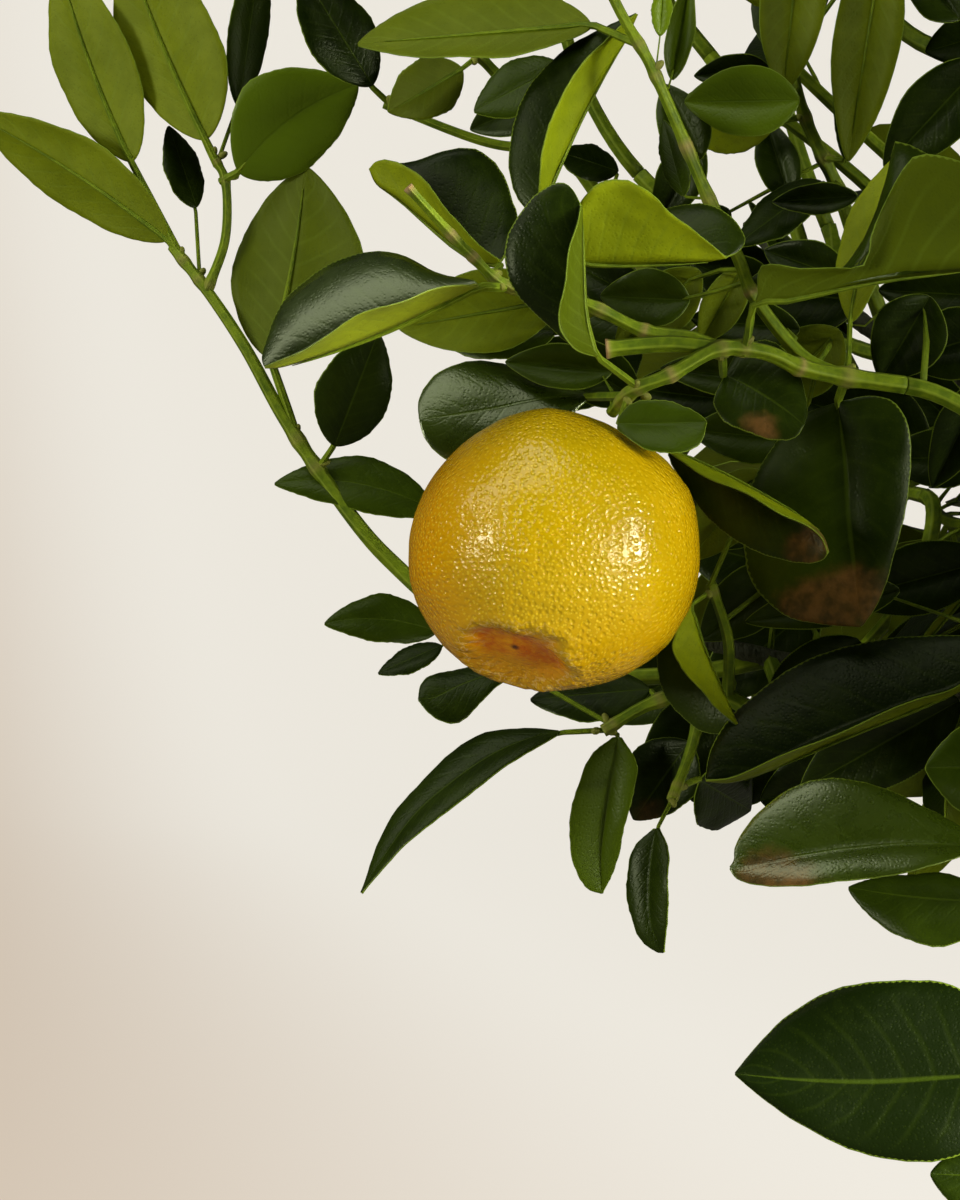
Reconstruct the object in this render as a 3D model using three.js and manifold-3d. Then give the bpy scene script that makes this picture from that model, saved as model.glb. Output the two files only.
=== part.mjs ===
// Yuzu bonsai in an oval clay pot, in millimetres, +Z up, the viewer at -Y.
// The origin is the middle of the pot's flat base.
import * as THREE from 'three';
import { mergeVertices } from 'three/addons/utils/BufferGeometryUtils.js';
import Module from 'manifold-3d';

const wasm = await Module();
wasm.setup();

// Pot and soil
const POT_DEPTH_RATIO = 0.74;
const POT_BASE_RADIUS = 106;
const POT_WALL_RADIUS = 123;
const POT_RIM_RADIUS = 130;
const POT_HEIGHT = 84;
const POT_RIM_HEIGHT = 9;
const POT_FOOT_BEVEL = 4;
const POT_RIM_BEVEL = 1.5;
const POT_LIP = 2;
const POT_INNER_RADIUS = 119;
const POT_INNER_BASE_RADIUS = 99;
const POT_FLOOR = 11;
const POT_SIDES = 28;
const DRAIN_RADIUS = 8;
const DRAIN_OFFSET = 58;
const SOIL_TOP = 77;
const SOIL_EDGE_DROP = 5;
const SOIL_FLAT_RADIUS = 50;
const SOIL_SHOULDER_DROP = 1.75;
const SOCKET_GAP = 1.2;
const CLEARANCE = 0.3;

// Trunk and branches
const TRUNK_FOOT = 42;
const TRUNK_SOCKET_RADIUS = 16;
const FLARE_RADIUS = 31;
const FLARE_HEIGHT = 34;
const FLARE_LOBES = 5;
const FLARE_LOBE_DEPTH = 0.22;
const FLARE_STEEPNESS = 2.2;
const TRUNK_PATH = [[0, 0, 84], [9, 3, 130], [2, -4, 180], [-3, 2, 232], [6, 6, 292], [1, 0, 350],
  [-6, -3, 405], [-2, 0, 444]];
const TRUNK_RADII = [17, 15.5, 14, 12.5, 9.5, 6.8, 4.2, 2.2];
const TRUNK_JOIN = 6;
const TRUNK_ROOM = 12;
const TRUNK_SIDES = 9;
const TRUNK_STEPS = 11;
const BRANCH_TIP_RADIUS = 1.7;
const TWIG_RADIUS = 1.6;
const TWIG_TIP_RADIUS = 1.2;

// Each main branch: compass angle in degrees from +X, height on the trunk, reach and rise
const MAIN_BRANCHES = [
  [356, 212, 108, 46],
  [66, 228, 98, 44],
  [306, 244, 88, 26],
  [126, 262, 88, 34],
  [186, 286, 88, 16],
  [246, 300, 66, 34],
  [22, 306, 84, 46],
  [96, 326, 80, 46],
  [158, 340, 76, 44],
  [286, 322, 74, 42],
];
const BRANCH_SHARE = 0.5;
const BRANCH_TAPER = 0.7;
const BRANCH_ARCH_REACH = 0.55;
const BRANCH_ARCH_RISE = 0.2;

// Branchlets start from anchors along the trunk and branches, given by shares of their length
const TRUNK_ANCHORS = { from: 0.5, to: 0.97, step: 0.03 };
const BRANCH_ANCHORS = { from: 0.3, to: 0.85, step: 0.1 };
const BRANCHLET_CLIMB = 8;
const BRANCHLET_CLIMB_COST = 0.8;
const BRANCHLET_ARCH = 0.42;
const BRANCHLET_SHARE = 0.8;
const BRANCHLET_THICKENING = 0.012;
const LONG_BRANCHLET = 45;

// Crown
const CROWN_CENTRE = new THREE.Vector3(4, 4, 362);
const CROWN_RADII = new THREE.Vector3(114, 100, 84);
const CROWN_POINTS = 56;
const CROWN_LOWEST = -0.8;
const INNER_SPRAYS = [
  [[-34, 6, 318], [-0.5, 0.2, 0.1]],
  [[-40, 30, 300], [-0.3, 0.5, -0.4]],
  [[-44, 34, 345], [-0.6, 0.3, 0.3]],
  [[-30, 10, 372], [-0.5, -0.2, 0.6]],
  [[-50, 50, 385], [-0.3, 0.3, 0.8]],
  [[-26, -14, 300], [-0.2, -0.1, -1]],
  [[-30, 50, 330], [-0.2, 0.9, 0.1]],
];
const GOLDEN_ANGLE = Math.PI * (3 - Math.sqrt(5));
const LEAVES_PER_SPRAY = 6;
const SPRAY_REACH = 62;
const SPRAY_LENGTH = [44, 62];
const SPRAY_BEND = 0.5;
const SPRAY_SPLAY = { foot: 66, tip: 32, spread: 16 };

// Leaves
const LEAF_THICKNESS = 1.3;
const LEAF_LENGTH = 47;
const LEAF_HALF_WIDTH = 0.27;
const LEAF_SIZE = [0.86, 1.14];
const LEAF_DROOP = [0.04, 0.22];
const LEAF_FOLD = [0.12, 0.52];
const LEAF_TILT = 0.9;
const LEAF_OUTWARD = 0.3;
const LEAF_SINK = 0.12;
const LEAF_FIRST_PLACE = 0.2;
const LEAF_LAST_PLACE = 0.985;
const SPRAY_LIFT = 0.25;
const LEAF_STALK = 8.5;
const LEAF_TRIES = 8;
const LEAF_TURN_PER_TRY = 0.75;
const LEAF_LOSS_PER_TRY = 0.06;
const STALK_RADIUS = 0.75;
const STALK_ROOT_RADIUS = 0.5;
const SHORT_STALK_RADIUS = 0.95;
const ROOT_DEPTH = 0.8;
const SHORT_STALK = 9;
const LEAF_MARGIN = 1.3;
const STEM_SPACING = 1;
const STEM_FOOT_BEADS = 2;
const PLAIN_STATIONS = [0.36, 0.74];
const SHOWN_STATIONS = [0.2, 0.5, 0.8];

// The fruit, and the viewer's eye, from which the shown side of the crown is laid out
const FRUIT_CENTRE = new THREE.Vector3(-108, -50, 318);
const FRUIT_EQUATOR = 26.2;
const FRUIT_POLE = 25;
const FRUIT_AXIS = new THREE.Vector3(0.347, 0.44, 0.83).normalize();
const BLOSSOM_HOLLOW = { depth: 3.6, width: 0.4, steepness: 3 };
const STALK_HOLLOW = { depth: 2.2, width: 0.22, steepness: 2 };
const FRUIT_LUMPS = { height: 0.25, count: 3, turn: 0.6 };
const FRUIT_SIDES = 18;
const FRUIT_RINGS = 13;
const EYE_DISTANCE = 700;
const PIXELS_PER_MM = 5.6;
const PICTURE_CENTRE = [480, 600];
const FRUIT_IN_PICTURE = [553, 549];
const EYE = new THREE.Vector3(
  FRUIT_CENTRE.x - (FRUIT_IN_PICTURE[0] - PICTURE_CENTRE[0]) / PIXELS_PER_MM,
  FRUIT_CENTRE.y - EYE_DISTANCE,
  FRUIT_CENTRE.z + (FRUIT_IN_PICTURE[1] - PICTURE_CENTRE[1]) / PIXELS_PER_MM,
);

// The shoots on the shown side. Each point is [across, down, toward]: across and down in the
// picture's pixels, toward in mm from the fruit's centre to the eye. A leaf has its root on the
// twig, the base of its blade and its tip; bow is how far the middle of its rib stands off the
// straight line, and left and right are where the widest parts of its two edges lie, seen from
// the upper face: pixels to the left of the way from base to tip, and mm toward the eye.
const SHOWN_SHOOTS = {
  fruit_shoot: {
    twigs: [
      { path: [[905, 385, -8], [841, 376, -6], [800, 367, -3], [764, 352, 0], [718, 349, 3],
        [672, 374, 5], [634, 390, 4], [612, 412, -4]], radii: [1.7, 1.15], sides: 5 },
      { path: [[722, 350, 2], [670, 344, 2], [606, 349, 2]], radii: [1.7, 1.6], sides: 5 },
      { path: [[726, 352, 2], [690, 338, 0], [642, 330, -2], [583, 303, 0], [510, 287, 4],
        [470, 254, 8], [408, 187, 12]], radii: [1.3, 1.1], sides: 5 },
      { path: [[841, 376, -6], [800, 354, -7], [755, 298, -6], [737, 255, -5], [709, 199, -3],
        [673, 115, 0], [650, 64, 2], [622, 15, 3], [600, -30, 4]], radii: [1.6, 1.1], sides: 5 },
    ],
    leaves: [
      { root: [507, 287, 4], base: [477, 288, 10], tip: [263, 367, 13],
        bow: [12, 0], left: [-24, 10], right: [-72, -2] },
      { root: [640, 389, 4], base: [602, 369, 16], tip: [564, 182, 18],
        bow: [0, 0], left: [76, -2], right: [18, 9] },
      { root: [556, 298, 2], base: [572, 250, 9], tip: [742, 243, 14],
        bow: [2, 0], left: [-20, 5], right: [62, -5] },
      { root: [494, 275, 5], base: [512, 240, -10], tip: [371, 165, -22],
        bow: [5, 0], left: [-24, 6], right: [-62, -4] },
      { root: [512, 287, 4], base: [534, 216, -4], tip: [637, 13, -8],
        bow: [-4, 0], left: [60, -4], right: [27, 7] },
      { root: [626, 396, 0], base: [588, 396, -17], tip: [419, 427, -14],
        bow: [-8, 0], left: [34, 3], right: [-46, -6] },
      { root: [628, 394, 3], base: [622, 416, 9], tip: [707, 425, 11],
        bow: [0, 0], left: [23, 0], right: [-24, 4] },
      { root: [640, 389, 4], base: [668, 450, -9], tip: [828, 553, 2],
        bow: [4, 0], left: [22, -4], right: [-34, -5] },
      { root: [722, 350, 3], base: [724, 376, -10], tip: [804, 426, -5],
        bow: [0, 0], left: [38, -3], right: [-38, 3] },
      { root: [744, 351, 2], base: [764, 302, 6], tip: [1015, 262, 14],
        bow: [-6, 0], left: [6, -13], right: [104, 3] },
      { root: [848, 377, -6], base: [851, 322, -14], tip: [905, 150, -22],
        bow: [8, 0], left: [-22, 4], right: [27, -4] },
      { root: [846, 377, -6], base: [838, 402, -12], tip: [858, 627, -9],
        bow: [2, 0], left: [70, 2], right: [-98, -7] },
      { root: [640, 45, 2], base: [592, 26, -9], tip: [357, 45, -14],
        bow: [0, 0], left: [-48, -4], right: [23, 6] },
      { root: [655, 77, 2], base: [660, 36, 3], tip: [664, -22, 3],
        bow: [0, 0], left: [10, 1], right: [-10, 1] },
      { root: [600, 309, -1], base: [556, 332, -24], tip: [410, 318, -32],
        bow: [0, 0], left: [34, 4], right: [-34, -4] },
      { root: [709, 199, -3], base: [684, 196, -14], tip: [664, 120, -24],
        bow: [0, 0], left: [14, -2], right: [-14, 2] },
    ],
  },
  back_shoot: {
    twigs: [
      { path: [[452, 618, -60], [400, 570, -62], [367, 536, -62], [329, 486, -64], [283, 417, -67],
        [245, 348, -70], [207, 291, -74], [172, 247, -78]], radii: [1.7, 1.0], sides: 5 },
      { path: [[207, 291, -74], [225, 240, -74], [226, 185, -74], [216, 160, -75]],
        radii: [1.0, 0.8], sides: 4 },
    ],
    leaves: [
      { root: [182, 260, -77], base: [168, 240, -78], tip: [-30, 112, -86],
        bow: [-6, 0], left: [-36, 4], right: [34, -4] },
      { root: [184, 262, -77], base: [132, 162, -81], tip: [58, -46, -88],
        bow: [6, 0], left: [-42, 4], right: [36, -4] },
      { root: [216, 162, -75], base: [206, 140, -76], tip: [122, -66, -84],
        bow: [4, 0], left: [-56, 4], right: [42, -4] },
      { root: [224, 180, -74], base: [238, 172, -72], tip: [358, 84, -68],
        bow: [12, 0], left: [54, 3], right: [-50, -3] },
      { root: [217, 164, -75], base: [238, 106, -79], tip: [262, -66, -84],
        bow: [0, 0], left: [20, 3], right: [-20, -3] },
      { root: [200, 282, -75], base: [196, 208, -82], tip: [168, 126, -86],
        bow: [0, 0], left: [18, 3], right: [-18, -3] },
      { root: [298, 440, -66], base: [272, 360, -69], tip: [306, 166, -74],
        bow: [-4, 0], left: [-74, 5], right: [58, -5] },
      { root: [318, 469, -65], base: [334, 446, -61], tip: [378, 332, -57],
        bow: [0, 0], left: [38, 3], right: [-36, -3] },
      { root: [430, 598, -61], base: [436, 512, -66], tip: [274, 484, -64],
        bow: [-14, 0], left: [26, 3], right: [-28, -3] },
      { root: [440, 607, -61], base: [436, 632, -56], tip: [324, 624, -50],
        bow: [-8, 0], left: [22, 3], right: [-26, -3] },
      { root: [446, 612, -61], base: [442, 646, -66], tip: [378, 674, -66],
        bow: [0, 0], left: [13, 2], right: [-13, -2] },
    ],
  },
  low_shoot: {
    twigs: [
      { path: [[764, 716, -36], [706, 690, -36], [650, 704, -36], [603, 731, -36]],
        radii: [1.7, 1.0], sides: 5 },
      { path: [[728, 698, -36], [728, 640, -30], [711, 584, -23]], radii: [1.2, 0.9], sides: 4 },
      { path: [[706, 690, -36], [690, 752, -32], [672, 800, -26]], radii: [1.2, 0.9], sides: 4 },
    ],
    leaves: [
      { root: [712, 590, -24], base: [694, 614, -17], tip: [737, 726, -10],
        bow: [-8, 0], left: [14, 5], right: [-40, -4] },
      { root: [614, 726, -36], base: [520, 672, -40], tip: [418, 706, -37],
        bow: [0, 0], left: [21, 3], right: [-23, -4] },
      { root: [606, 730, -36], base: [560, 732, -34], tip: [361, 894, -31],
        bow: [-25, 0], left: [24, 5], right: [-24, -5] },
      { root: [606, 730, -36], base: [612, 744, -42], tip: [603, 894, -47],
        bow: [-6, 0], left: [27, 3], right: [-31, 3] },
      { root: [674, 796, -26], base: [657, 830, -18], tip: [665, 953, -15],
        bow: [-6, 0], left: [17, 4], right: [-27, -2] },
      { root: [660, 701, -36], base: [650, 690, -42], tip: [530, 700, -44],
        bow: [0, 0], left: [27, 4], right: [-24, -4] },
      { root: [676, 788, -28], base: [700, 780, -38], tip: [750, 810, -58],
        bow: [0, 0], left: [40, 3], right: [-40, -3] },
      { root: [698, 722, -34], base: [690, 742, -44], tip: [634, 820, -52],
        bow: [0, 0], left: [34, 4], right: [-40, -4] },
    ],
  },
  side_shoot: {
    twigs: [
      { path: [[1120, 720, -12], [1070, 726, -6], [1040, 770, 2], [1012, 846, 4]],
        radii: [1.7, 1.0], sides: 5 },
      { path: [[1068, 726, -6], [1046, 686, -8], [1020, 652, -9]], radii: [1.2, 0.9], sides: 4 },
    ],
    leaves: [
      { root: [1024, 658, -9], base: [992, 640, -10], tip: [705, 780, -6],
        bow: [22, 0], left: [-16, 8], right: [-88, -7] },
      { root: [1013, 842, 4], base: [986, 850, 6], tip: [729, 868, 9],
        bow: [-8, 0], left: [31, 5], right: [-71, -5] },
      { root: [1020, 826, 4], base: [1004, 902, -20], tip: [848, 888, -30],
        bow: [4, 0], left: [46, 4], right: [-26, -5] },
      { root: [1044, 762, 1], base: [1034, 768, 12], tip: [925, 768, 18],
        bow: [0, 0], left: [52, 2], right: [-50, -3] },
    ],
  },
  hanging_shoot: {
    twigs: [
      { path: [[1150, 980, -22], [1100, 1010, -18], [1050, 1060, -15], [1030, 1090, -14]],
        radii: [1.7, 1.0], sides: 5 },
    ],
    leaves: [
      { root: [1050, 1060, -15], base: [1008, 1074, -14], tip: [734, 1074, -12],
        bow: [-6, 0], left: [86, 2], right: [-92, -3] },
      { root: [1036, 1082, -14], base: [1064, 1180, -22], tip: [930, 1174, -20],
        bow: [0, 0], left: [52, 3], right: [-44, -3] },
      { root: [1086, 1022, -17], base: [1120, 1060, -10], tip: [1290, 1150, 0],
        bow: [0, 0], left: [60, 3], right: [-60, -3] },
    ],
  },
  upper_shoot: {
    twigs: [
      { path: [[690, 330, -66], [632, 246, -64], [580, 170, -60], [524, 104, -56], [476, 52, -54]],
        radii: [1.7, 1.0], sides: 5 },
      { path: [[560, 147, -59], [490, 143, -58], [384, 104, -54]], radii: [1.1, 0.8], sides: 4 },
    ],
    leaves: [
      { root: [478, 56, -54], base: [462, 68, -50], tip: [388, 112, -44],
        bow: [0, 0], left: [-30, 3], right: [30, -3] },
      { root: [500, 78, -55], base: [562, 66, -48], tip: [474, 112, -42],
        bow: [0, 0], left: [28, 3], right: [-28, -3] },
      { root: [606, 208, -62], base: [618, 172, -56], tip: [556, 152, -50],
        bow: [0, 0], left: [18, 3], right: [-18, -3] },
      { root: [644, 262, -64], base: [684, 246, -60], tip: [780, 268, -54],
        bow: [0, 0], left: [22, 3], right: [-22, -3] },
      { root: [480, 56, -54], base: [490, 26, -60], tip: [520, -110, -70],
        bow: [0, 0], left: [38, 3], right: [-38, -3] },
      { root: [660, 286, -65], base: [636, 322, -60], tip: [560, 410, -50],
        bow: [0, 0], left: [36, 3], right: [-36, -3] },
      { root: [394, 108, -54], base: [372, 86, -50], tip: [300, -30, -46],
        bow: [0, 0], left: [34, 3], right: [-34, -3] },
    ],
  },
  top_shoot: {
    twigs: [
      { path: [[886, 330, -62], [862, 262, -58], [838, 190, -54], [806, 120, -50], [790, 60, -46]],
        radii: [1.7, 1.0], sides: 5 },
    ],
    leaves: [
      { root: [790, 64, -46], base: [794, 44, -44], tip: [806, -120, -40],
        bow: [0, 0], left: [34, 3], right: [-34, -3] },
      { root: [822, 158, -52], base: [846, 160, -46], tip: [888, -60, -36],
        bow: [0, 0], left: [27, 3], right: [-27, -3] },
      { root: [804, 116, -50], base: [776, 122, -44], tip: [668, 112, -40],
        bow: [0, 0], left: [-36, 3], right: [36, -3] },
      { root: [838, 190, -54], base: [822, 182, -46], tip: [736, 246, -38],
        bow: [0, 0], left: [22, 3], right: [-22, -3] },
      { root: [864, 268, -58], base: [910, 262, -66], tip: [1050, 180, -74],
        bow: [0, 0], left: [40, 3], right: [-40, -3] },
    ],
  },
};

// Where the rest of the crown may reach in the picture: the leftmost column for each row
const OPEN_AIR_ROWS = [-40, 250, 560, 700, 800, 880, 930, 1240];
const OPEN_AIR_COLUMNS = [650, 610, 650, 690, 770, 860, 990, 990];
const SHOWN_LAYER = -24;

// Where light shows through the crown in the picture: across, down and radius of each gap
const LIGHT_GAPS = [
  [745, 172, 24], [716, 182, 15], [816, 150, 22], [817, 238, 21], [838, 22, 15], [815, 72, 11],
  [893, 86, 21], [730, 24, 22], [706, 48, 11], [933, 4, 11], [925, 517, 20],
];
const GAP_STEPS = [0, 0.2, 0.4, 0.6, 0.8, 1];

const LEAF_GREEN = 0x35501f;
const LEAF_OLIVE = 0x5f7a2a;
const LEAF_ROUGHNESS = 0.45;
const BARK_BROWN = 0x6b5642;
const CLAY_BROWN = 0x6e4a38;
const SOIL_BROWN = 0x3b2e24;
const FRUIT_YELLOW = 0xd8ad17;

const up = new THREE.Vector3(0, 0, 1);
const alongX = new THREE.Vector3(1, 0, 0);

// A closed geometry as a solid that can be joined and cut
function solidOf(geometry) {
  geometry.deleteAttribute('normal');
  geometry.deleteAttribute('uv');
  const merged = mergeVertices(geometry, 1e-5);
  const mesh = new wasm.Mesh({
    numProp: 3,
    vertProperties: new Float32Array(merged.attributes.position.array),
    triVerts: new Uint32Array(merged.index.array),
  });
  return new wasm.Manifold(mesh);
}

function geometryOf(solid) {
  const mesh = solid.getMesh();
  const geometry = new THREE.BufferGeometry();
  geometry.setAttribute('position', new THREE.BufferAttribute(new Float32Array(mesh.vertProperties), 3));
  geometry.setIndex(new THREE.BufferAttribute(new Uint32Array(mesh.triVerts), 1));
  return geometry;
}

function joined(solids) {
  return solids.reduce((whole, next) => whole.add(next));
}

// A round limb along a curve, its radius given by the share of the way
function limb(curve, radiusAt, sides, steps) {
  const geometry = new THREE.CylinderGeometry(1, 1, 1, sides, steps);
  const position = geometry.attributes.position;
  const chord = curve.getPoint(1).sub(curve.getPoint(0)).normalize();
  const reference = Math.abs(chord.z) > 0.8 ? alongX : up;
  for (let i = 0; i < position.count; i += 1) {
    const share = Math.min(Math.max(position.getY(i) + 0.5, 0), 1);
    const tangent = curve.getTangent(share);
    const side = reference.clone().cross(tangent).normalize();
    const other = side.clone().cross(tangent);
    const angle = Math.atan2(position.getZ(i), position.getX(i));
    const radius = radiusAt(share, angle);
    const point = curve.getPoint(share);
    point.addScaledVector(side, position.getX(i) * radius);
    point.addScaledVector(other, position.getZ(i) * radius);
    position.setXYZ(i, point.x, point.y, point.z);
  }
  return geometry;
}

// Half the width of a blade at a share of its length, as a share of its greatest half width
function bladeProfile(share) {
  return Math.sin(Math.PI * share ** 0.85) ** 0.75;
}

// A leaf as one closed solid: rings of four points, left, under, right and upper, from the root
// in the twig along the stalk and the blade to the tip. Both faces of the blade are split alike.
function bladeGeometry(leaf) {
  const stalkRings = leaf.longStalk
    ? [[leaf.root, STALK_ROOT_RADIUS], [leaf.base, STALK_RADIUS]]
    : [[leaf.base, SHORT_STALK_RADIUS]];
  const rows = leaf.stations.length + stalkRings.length + 2;
  const geometry = new THREE.SphereGeometry(1, 4, rows - 1);
  const position = geometry.attributes.position;
  const forward = leaf.tip.clone().sub(leaf.base).normalize();
  const stalk = leaf.base.clone().sub(leaf.root).normalize();
  const first = leaf.stations[0];
  const across = first.right.clone().sub(first.left);
  across.addScaledVector(forward, -across.dot(forward)).normalize();
  const stalkAcross = across.clone().addScaledVector(stalk, -across.dot(stalk)).normalize();
  const stalkUp = stalkAcross.clone().cross(stalk);
  const rings = [];
  rings.push(new Array(5).fill(leaf.root.clone().addScaledVector(stalk, -ROOT_DEPTH)));
  for (const [centre, radius] of stalkRings) {
    rings.push([
      centre.clone().addScaledVector(stalkAcross, -radius),
      centre.clone().addScaledVector(stalkUp, -radius),
      centre.clone().addScaledVector(stalkAcross, radius),
      centre.clone().addScaledVector(stalkUp, radius),
    ]);
  }
  for (const station of leaf.stations) {
    const lift = station.right.clone().sub(station.left).cross(forward).normalize();
    lift.multiplyScalar(LEAF_THICKNESS / 2);
    rings.push([
      station.left,
      station.middle.clone().sub(lift),
      station.right,
      station.middle.clone().add(lift),
    ]);
  }
  rings.push(new Array(5).fill(leaf.tip));
  const faces = [];
  for (let row = 0; row < rows; row += 1) {
    for (let column = 0; column < 5; column += 1) {
      const point = rings[row][column % 4];
      position.setXYZ(row * 5 + column, point.x, point.y, point.z);
    }
  }
  for (let row = 0; row < rows - 1; row += 1) {
    for (let column = 0; column < 4; column += 1) {
      const near = row * 5 + column;
      const nearNext = near + 1;
      const far = near + 5;
      const farNext = near + 6;
      const fromMiddle = column % 2 === 1;
      if (row > 0) {
        faces.push(nearNext, near, fromMiddle ? farNext : far);
      }
      if (row < rows - 2) {
        faces.push(fromMiddle ? near : nearNext, far, farNext);
      }
    }
  }
  geometry.setIndex(faces);
  return geometry;
}

// A point of the picture as a point of space
function fromPicture([across, down, toward]) {
  const scale = (EYE_DISTANCE - toward) / EYE_DISTANCE / PIXELS_PER_MM;
  return new THREE.Vector3(
    EYE.x + (across - PICTURE_CENTRE[0]) * scale,
    FRUIT_CENTRE.y - toward,
    EYE.z - (down - PICTURE_CENTRE[1]) * scale,
  );
}

function toPicture(point) {
  const scale = EYE_DISTANCE * PIXELS_PER_MM / (point.y - EYE.y);
  return [PICTURE_CENTRE[0] + (point.x - EYE.x) * scale, PICTURE_CENTRE[1] - (point.z - EYE.z) * scale];
}

function shownLeaf(row) {
  const way = [row.tip[0] - row.base[0], row.tip[1] - row.base[1]];
  const length = Math.hypot(way[0], way[1]);
  const leftward = [way[1] / length, -way[0] / length];
  const offset = (share, pixels, toward) => {
    const [across, down, near] = row.base.map((value, i) => value + (row.tip[i] - value) * share);
    return fromPicture([across + leftward[0] * pixels, down + leftward[1] * pixels, near + toward]);
  };
  const stations = SHOWN_STATIONS.map((share) => {
    const bow = 4 * share * (1 - share);
    const width = bladeProfile(share);
    const [bowPixels, bowToward] = row.bow.map((value) => value * bow);
    const edge = ([pixels, toward]) => offset(share, bowPixels + pixels * width, bowToward + toward * width);
    return { left: edge(row.left), middle: offset(share, bowPixels, bowToward), right: edge(row.right) };
  });
  return {
    root: fromPicture(row.root),
    base: fromPicture(row.base),
    tip: fromPicture(row.tip),
    stations,
    longStalk: fromPicture(row.root).distanceTo(fromPicture(row.base)) > SHORT_STALK,
  };
}

function plainLeaf(shape) {
  const stations = PLAIN_STATIONS.map((share) => {
    const middle = shape.base.clone().addScaledVector(shape.forward, shape.length * share);
    middle.addScaledVector(shape.lift, -shape.droop * shape.length * share * share);
    const half = shape.half * bladeProfile(share);
    const rise = shape.lift.clone().multiplyScalar(half * Math.sin(shape.fold));
    const out = shape.right.clone().multiplyScalar(half * Math.cos(shape.fold));
    return {
      left: middle.clone().add(rise).sub(out),
      middle,
      right: middle.clone().add(rise).add(out),
    };
  });
  const tip = shape.base.clone().addScaledVector(shape.forward, shape.length);
  tip.addScaledVector(shape.lift, -shape.droop * shape.length);
  return { root: shape.root, base: shape.base, tip, stations };
}

// What a leaf takes up, for keeping others clear of it: the triangles of its middle surface, and
// its lines, also a little above and below that surface
function leafCage(leaf) {
  const triangles = [];
  const lines = [];
  const { base, tip, stations } = leaf;
  const first = stations[0];
  const last = stations[stations.length - 1];
  const flat = [];
  for (const side of ['left', 'right']) {
    triangles.push([base, first.middle, first[side]], [last.middle, last[side], tip]);
    flat.push([base, first[side]], [last[side], tip]);
    for (let i = 0; i < stations.length; i += 1) {
      const here = stations[i];
      flat.push([here.middle, here[side]]);
      if (i > 0) {
        const before = stations[i - 1];
        triangles.push([before.middle, here.middle, here[side]], [before.middle, before[side], here[side]]);
        flat.push([before[side], here[side]], [before.middle, here.middle]);
      }
    }
  }
  flat.push([base, first.middle], [last.middle, tip]);
  const forward = tip.clone().sub(base).normalize();
  const lift = first.right.clone().sub(first.left).cross(forward).normalize();
  for (const height of [-LEAF_MARGIN, 0, LEAF_MARGIN]) {
    for (const [from, to] of flat) {
      lines.push([from.clone().addScaledVector(lift, height), to.clone().addScaledVector(lift, height)]);
    }
  }
  lines.push([leaf.root, base]);
  const centre = base.clone().add(tip).multiplyScalar(0.5);
  let reach = leaf.root.distanceTo(centre);
  for (const station of stations) {
    reach = Math.max(reach, station.left.distanceTo(centre), station.right.distanceTo(centre));
  }
  return { triangles, lines, centre, reach: Math.max(reach, tip.distanceTo(centre)) + LEAF_MARGIN };
}

// Whether a line runs through a triangle
function pierces([from, to], [a, b, c]) {
  const way = to.clone().sub(from);
  const edge1 = b.clone().sub(a);
  const edge2 = c.clone().sub(a);
  const cross = way.clone().cross(edge2);
  const det = edge1.dot(cross);
  if (Math.abs(det) < 1e-9) {
    return false;
  }
  const toFrom = from.clone().sub(a);
  const first = toFrom.dot(cross) / det;
  if (first < 0 || first > 1) {
    return false;
  }
  const turned = toFrom.cross(edge1);
  const second = way.dot(turned) / det;
  const along = edge2.dot(turned) / det;
  return second >= 0 && first + second <= 1 && along >= 0 && along <= 1;
}

function cagesCross(one, other) {
  if (one.centre.distanceTo(other.centre) > one.reach + other.reach) {
    return false;
  }
  const hits = (lines, triangles) => lines.some((line) => (
    triangles.some((triangle) => pierces(line, triangle))));
  return hits(one.lines, other.triangles) || hits(other.lines, one.triangles);
}

// Points along a stem with their radius, and lines on its surface
function stemCage(curve, radius, steps) {
  const beads = [];
  const lines = [];
  const chord = curve.getPoint(1).sub(curve.getPoint(0)).normalize();
  const side = (Math.abs(chord.z) > 0.8 ? alongX : up).clone().cross(chord).normalize();
  const other = side.clone().cross(chord);
  for (let i = 0; i <= steps; i += 1) {
    beads.push({ point: curve.getPoint(i / steps), radius });
  }
  const shell = radius + LEAF_MARGIN;
  for (let turn = 0; turn < 6; turn += 1) {
    const angle = turn * Math.PI / 3;
    const shift = side.clone().multiplyScalar(Math.cos(angle) * shell);
    shift.addScaledVector(other, Math.sin(angle) * shell);
    for (let i = 0; i < steps; i += 1) {
      lines.push([beads[i].point.clone().add(shift), beads[i + 1].point.clone().add(shift)]);
    }
  }
  const centre = curve.getPoint(0.5);
  const reach = Math.max(centre.distanceTo(beads[0].point), centre.distanceTo(beads[steps].point)) + shell;
  return { triangles: [], lines, beads, centre, reach };
}

const cages = [];
const woodBeads = [];
const twigBeads = [];

// Whether a stem comes too near to stems that are already there, its own foot aside
function stemTooNear(cage, others) {
  return cage.beads.slice(STEM_FOOT_BEADS).some(({ point, radius }) => others.some((bead) => (
    point.distanceTo(bead.point) < radius + bead.radius + STEM_SPACING)));
}

function keepClearOf(cage, stems = []) {
  cages.push(cage);
  stems.push(...(cage.beads ?? []));
}

function isFree(cage) {
  return !cages.some((other) => cagesCross(cage, other));
}

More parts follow.
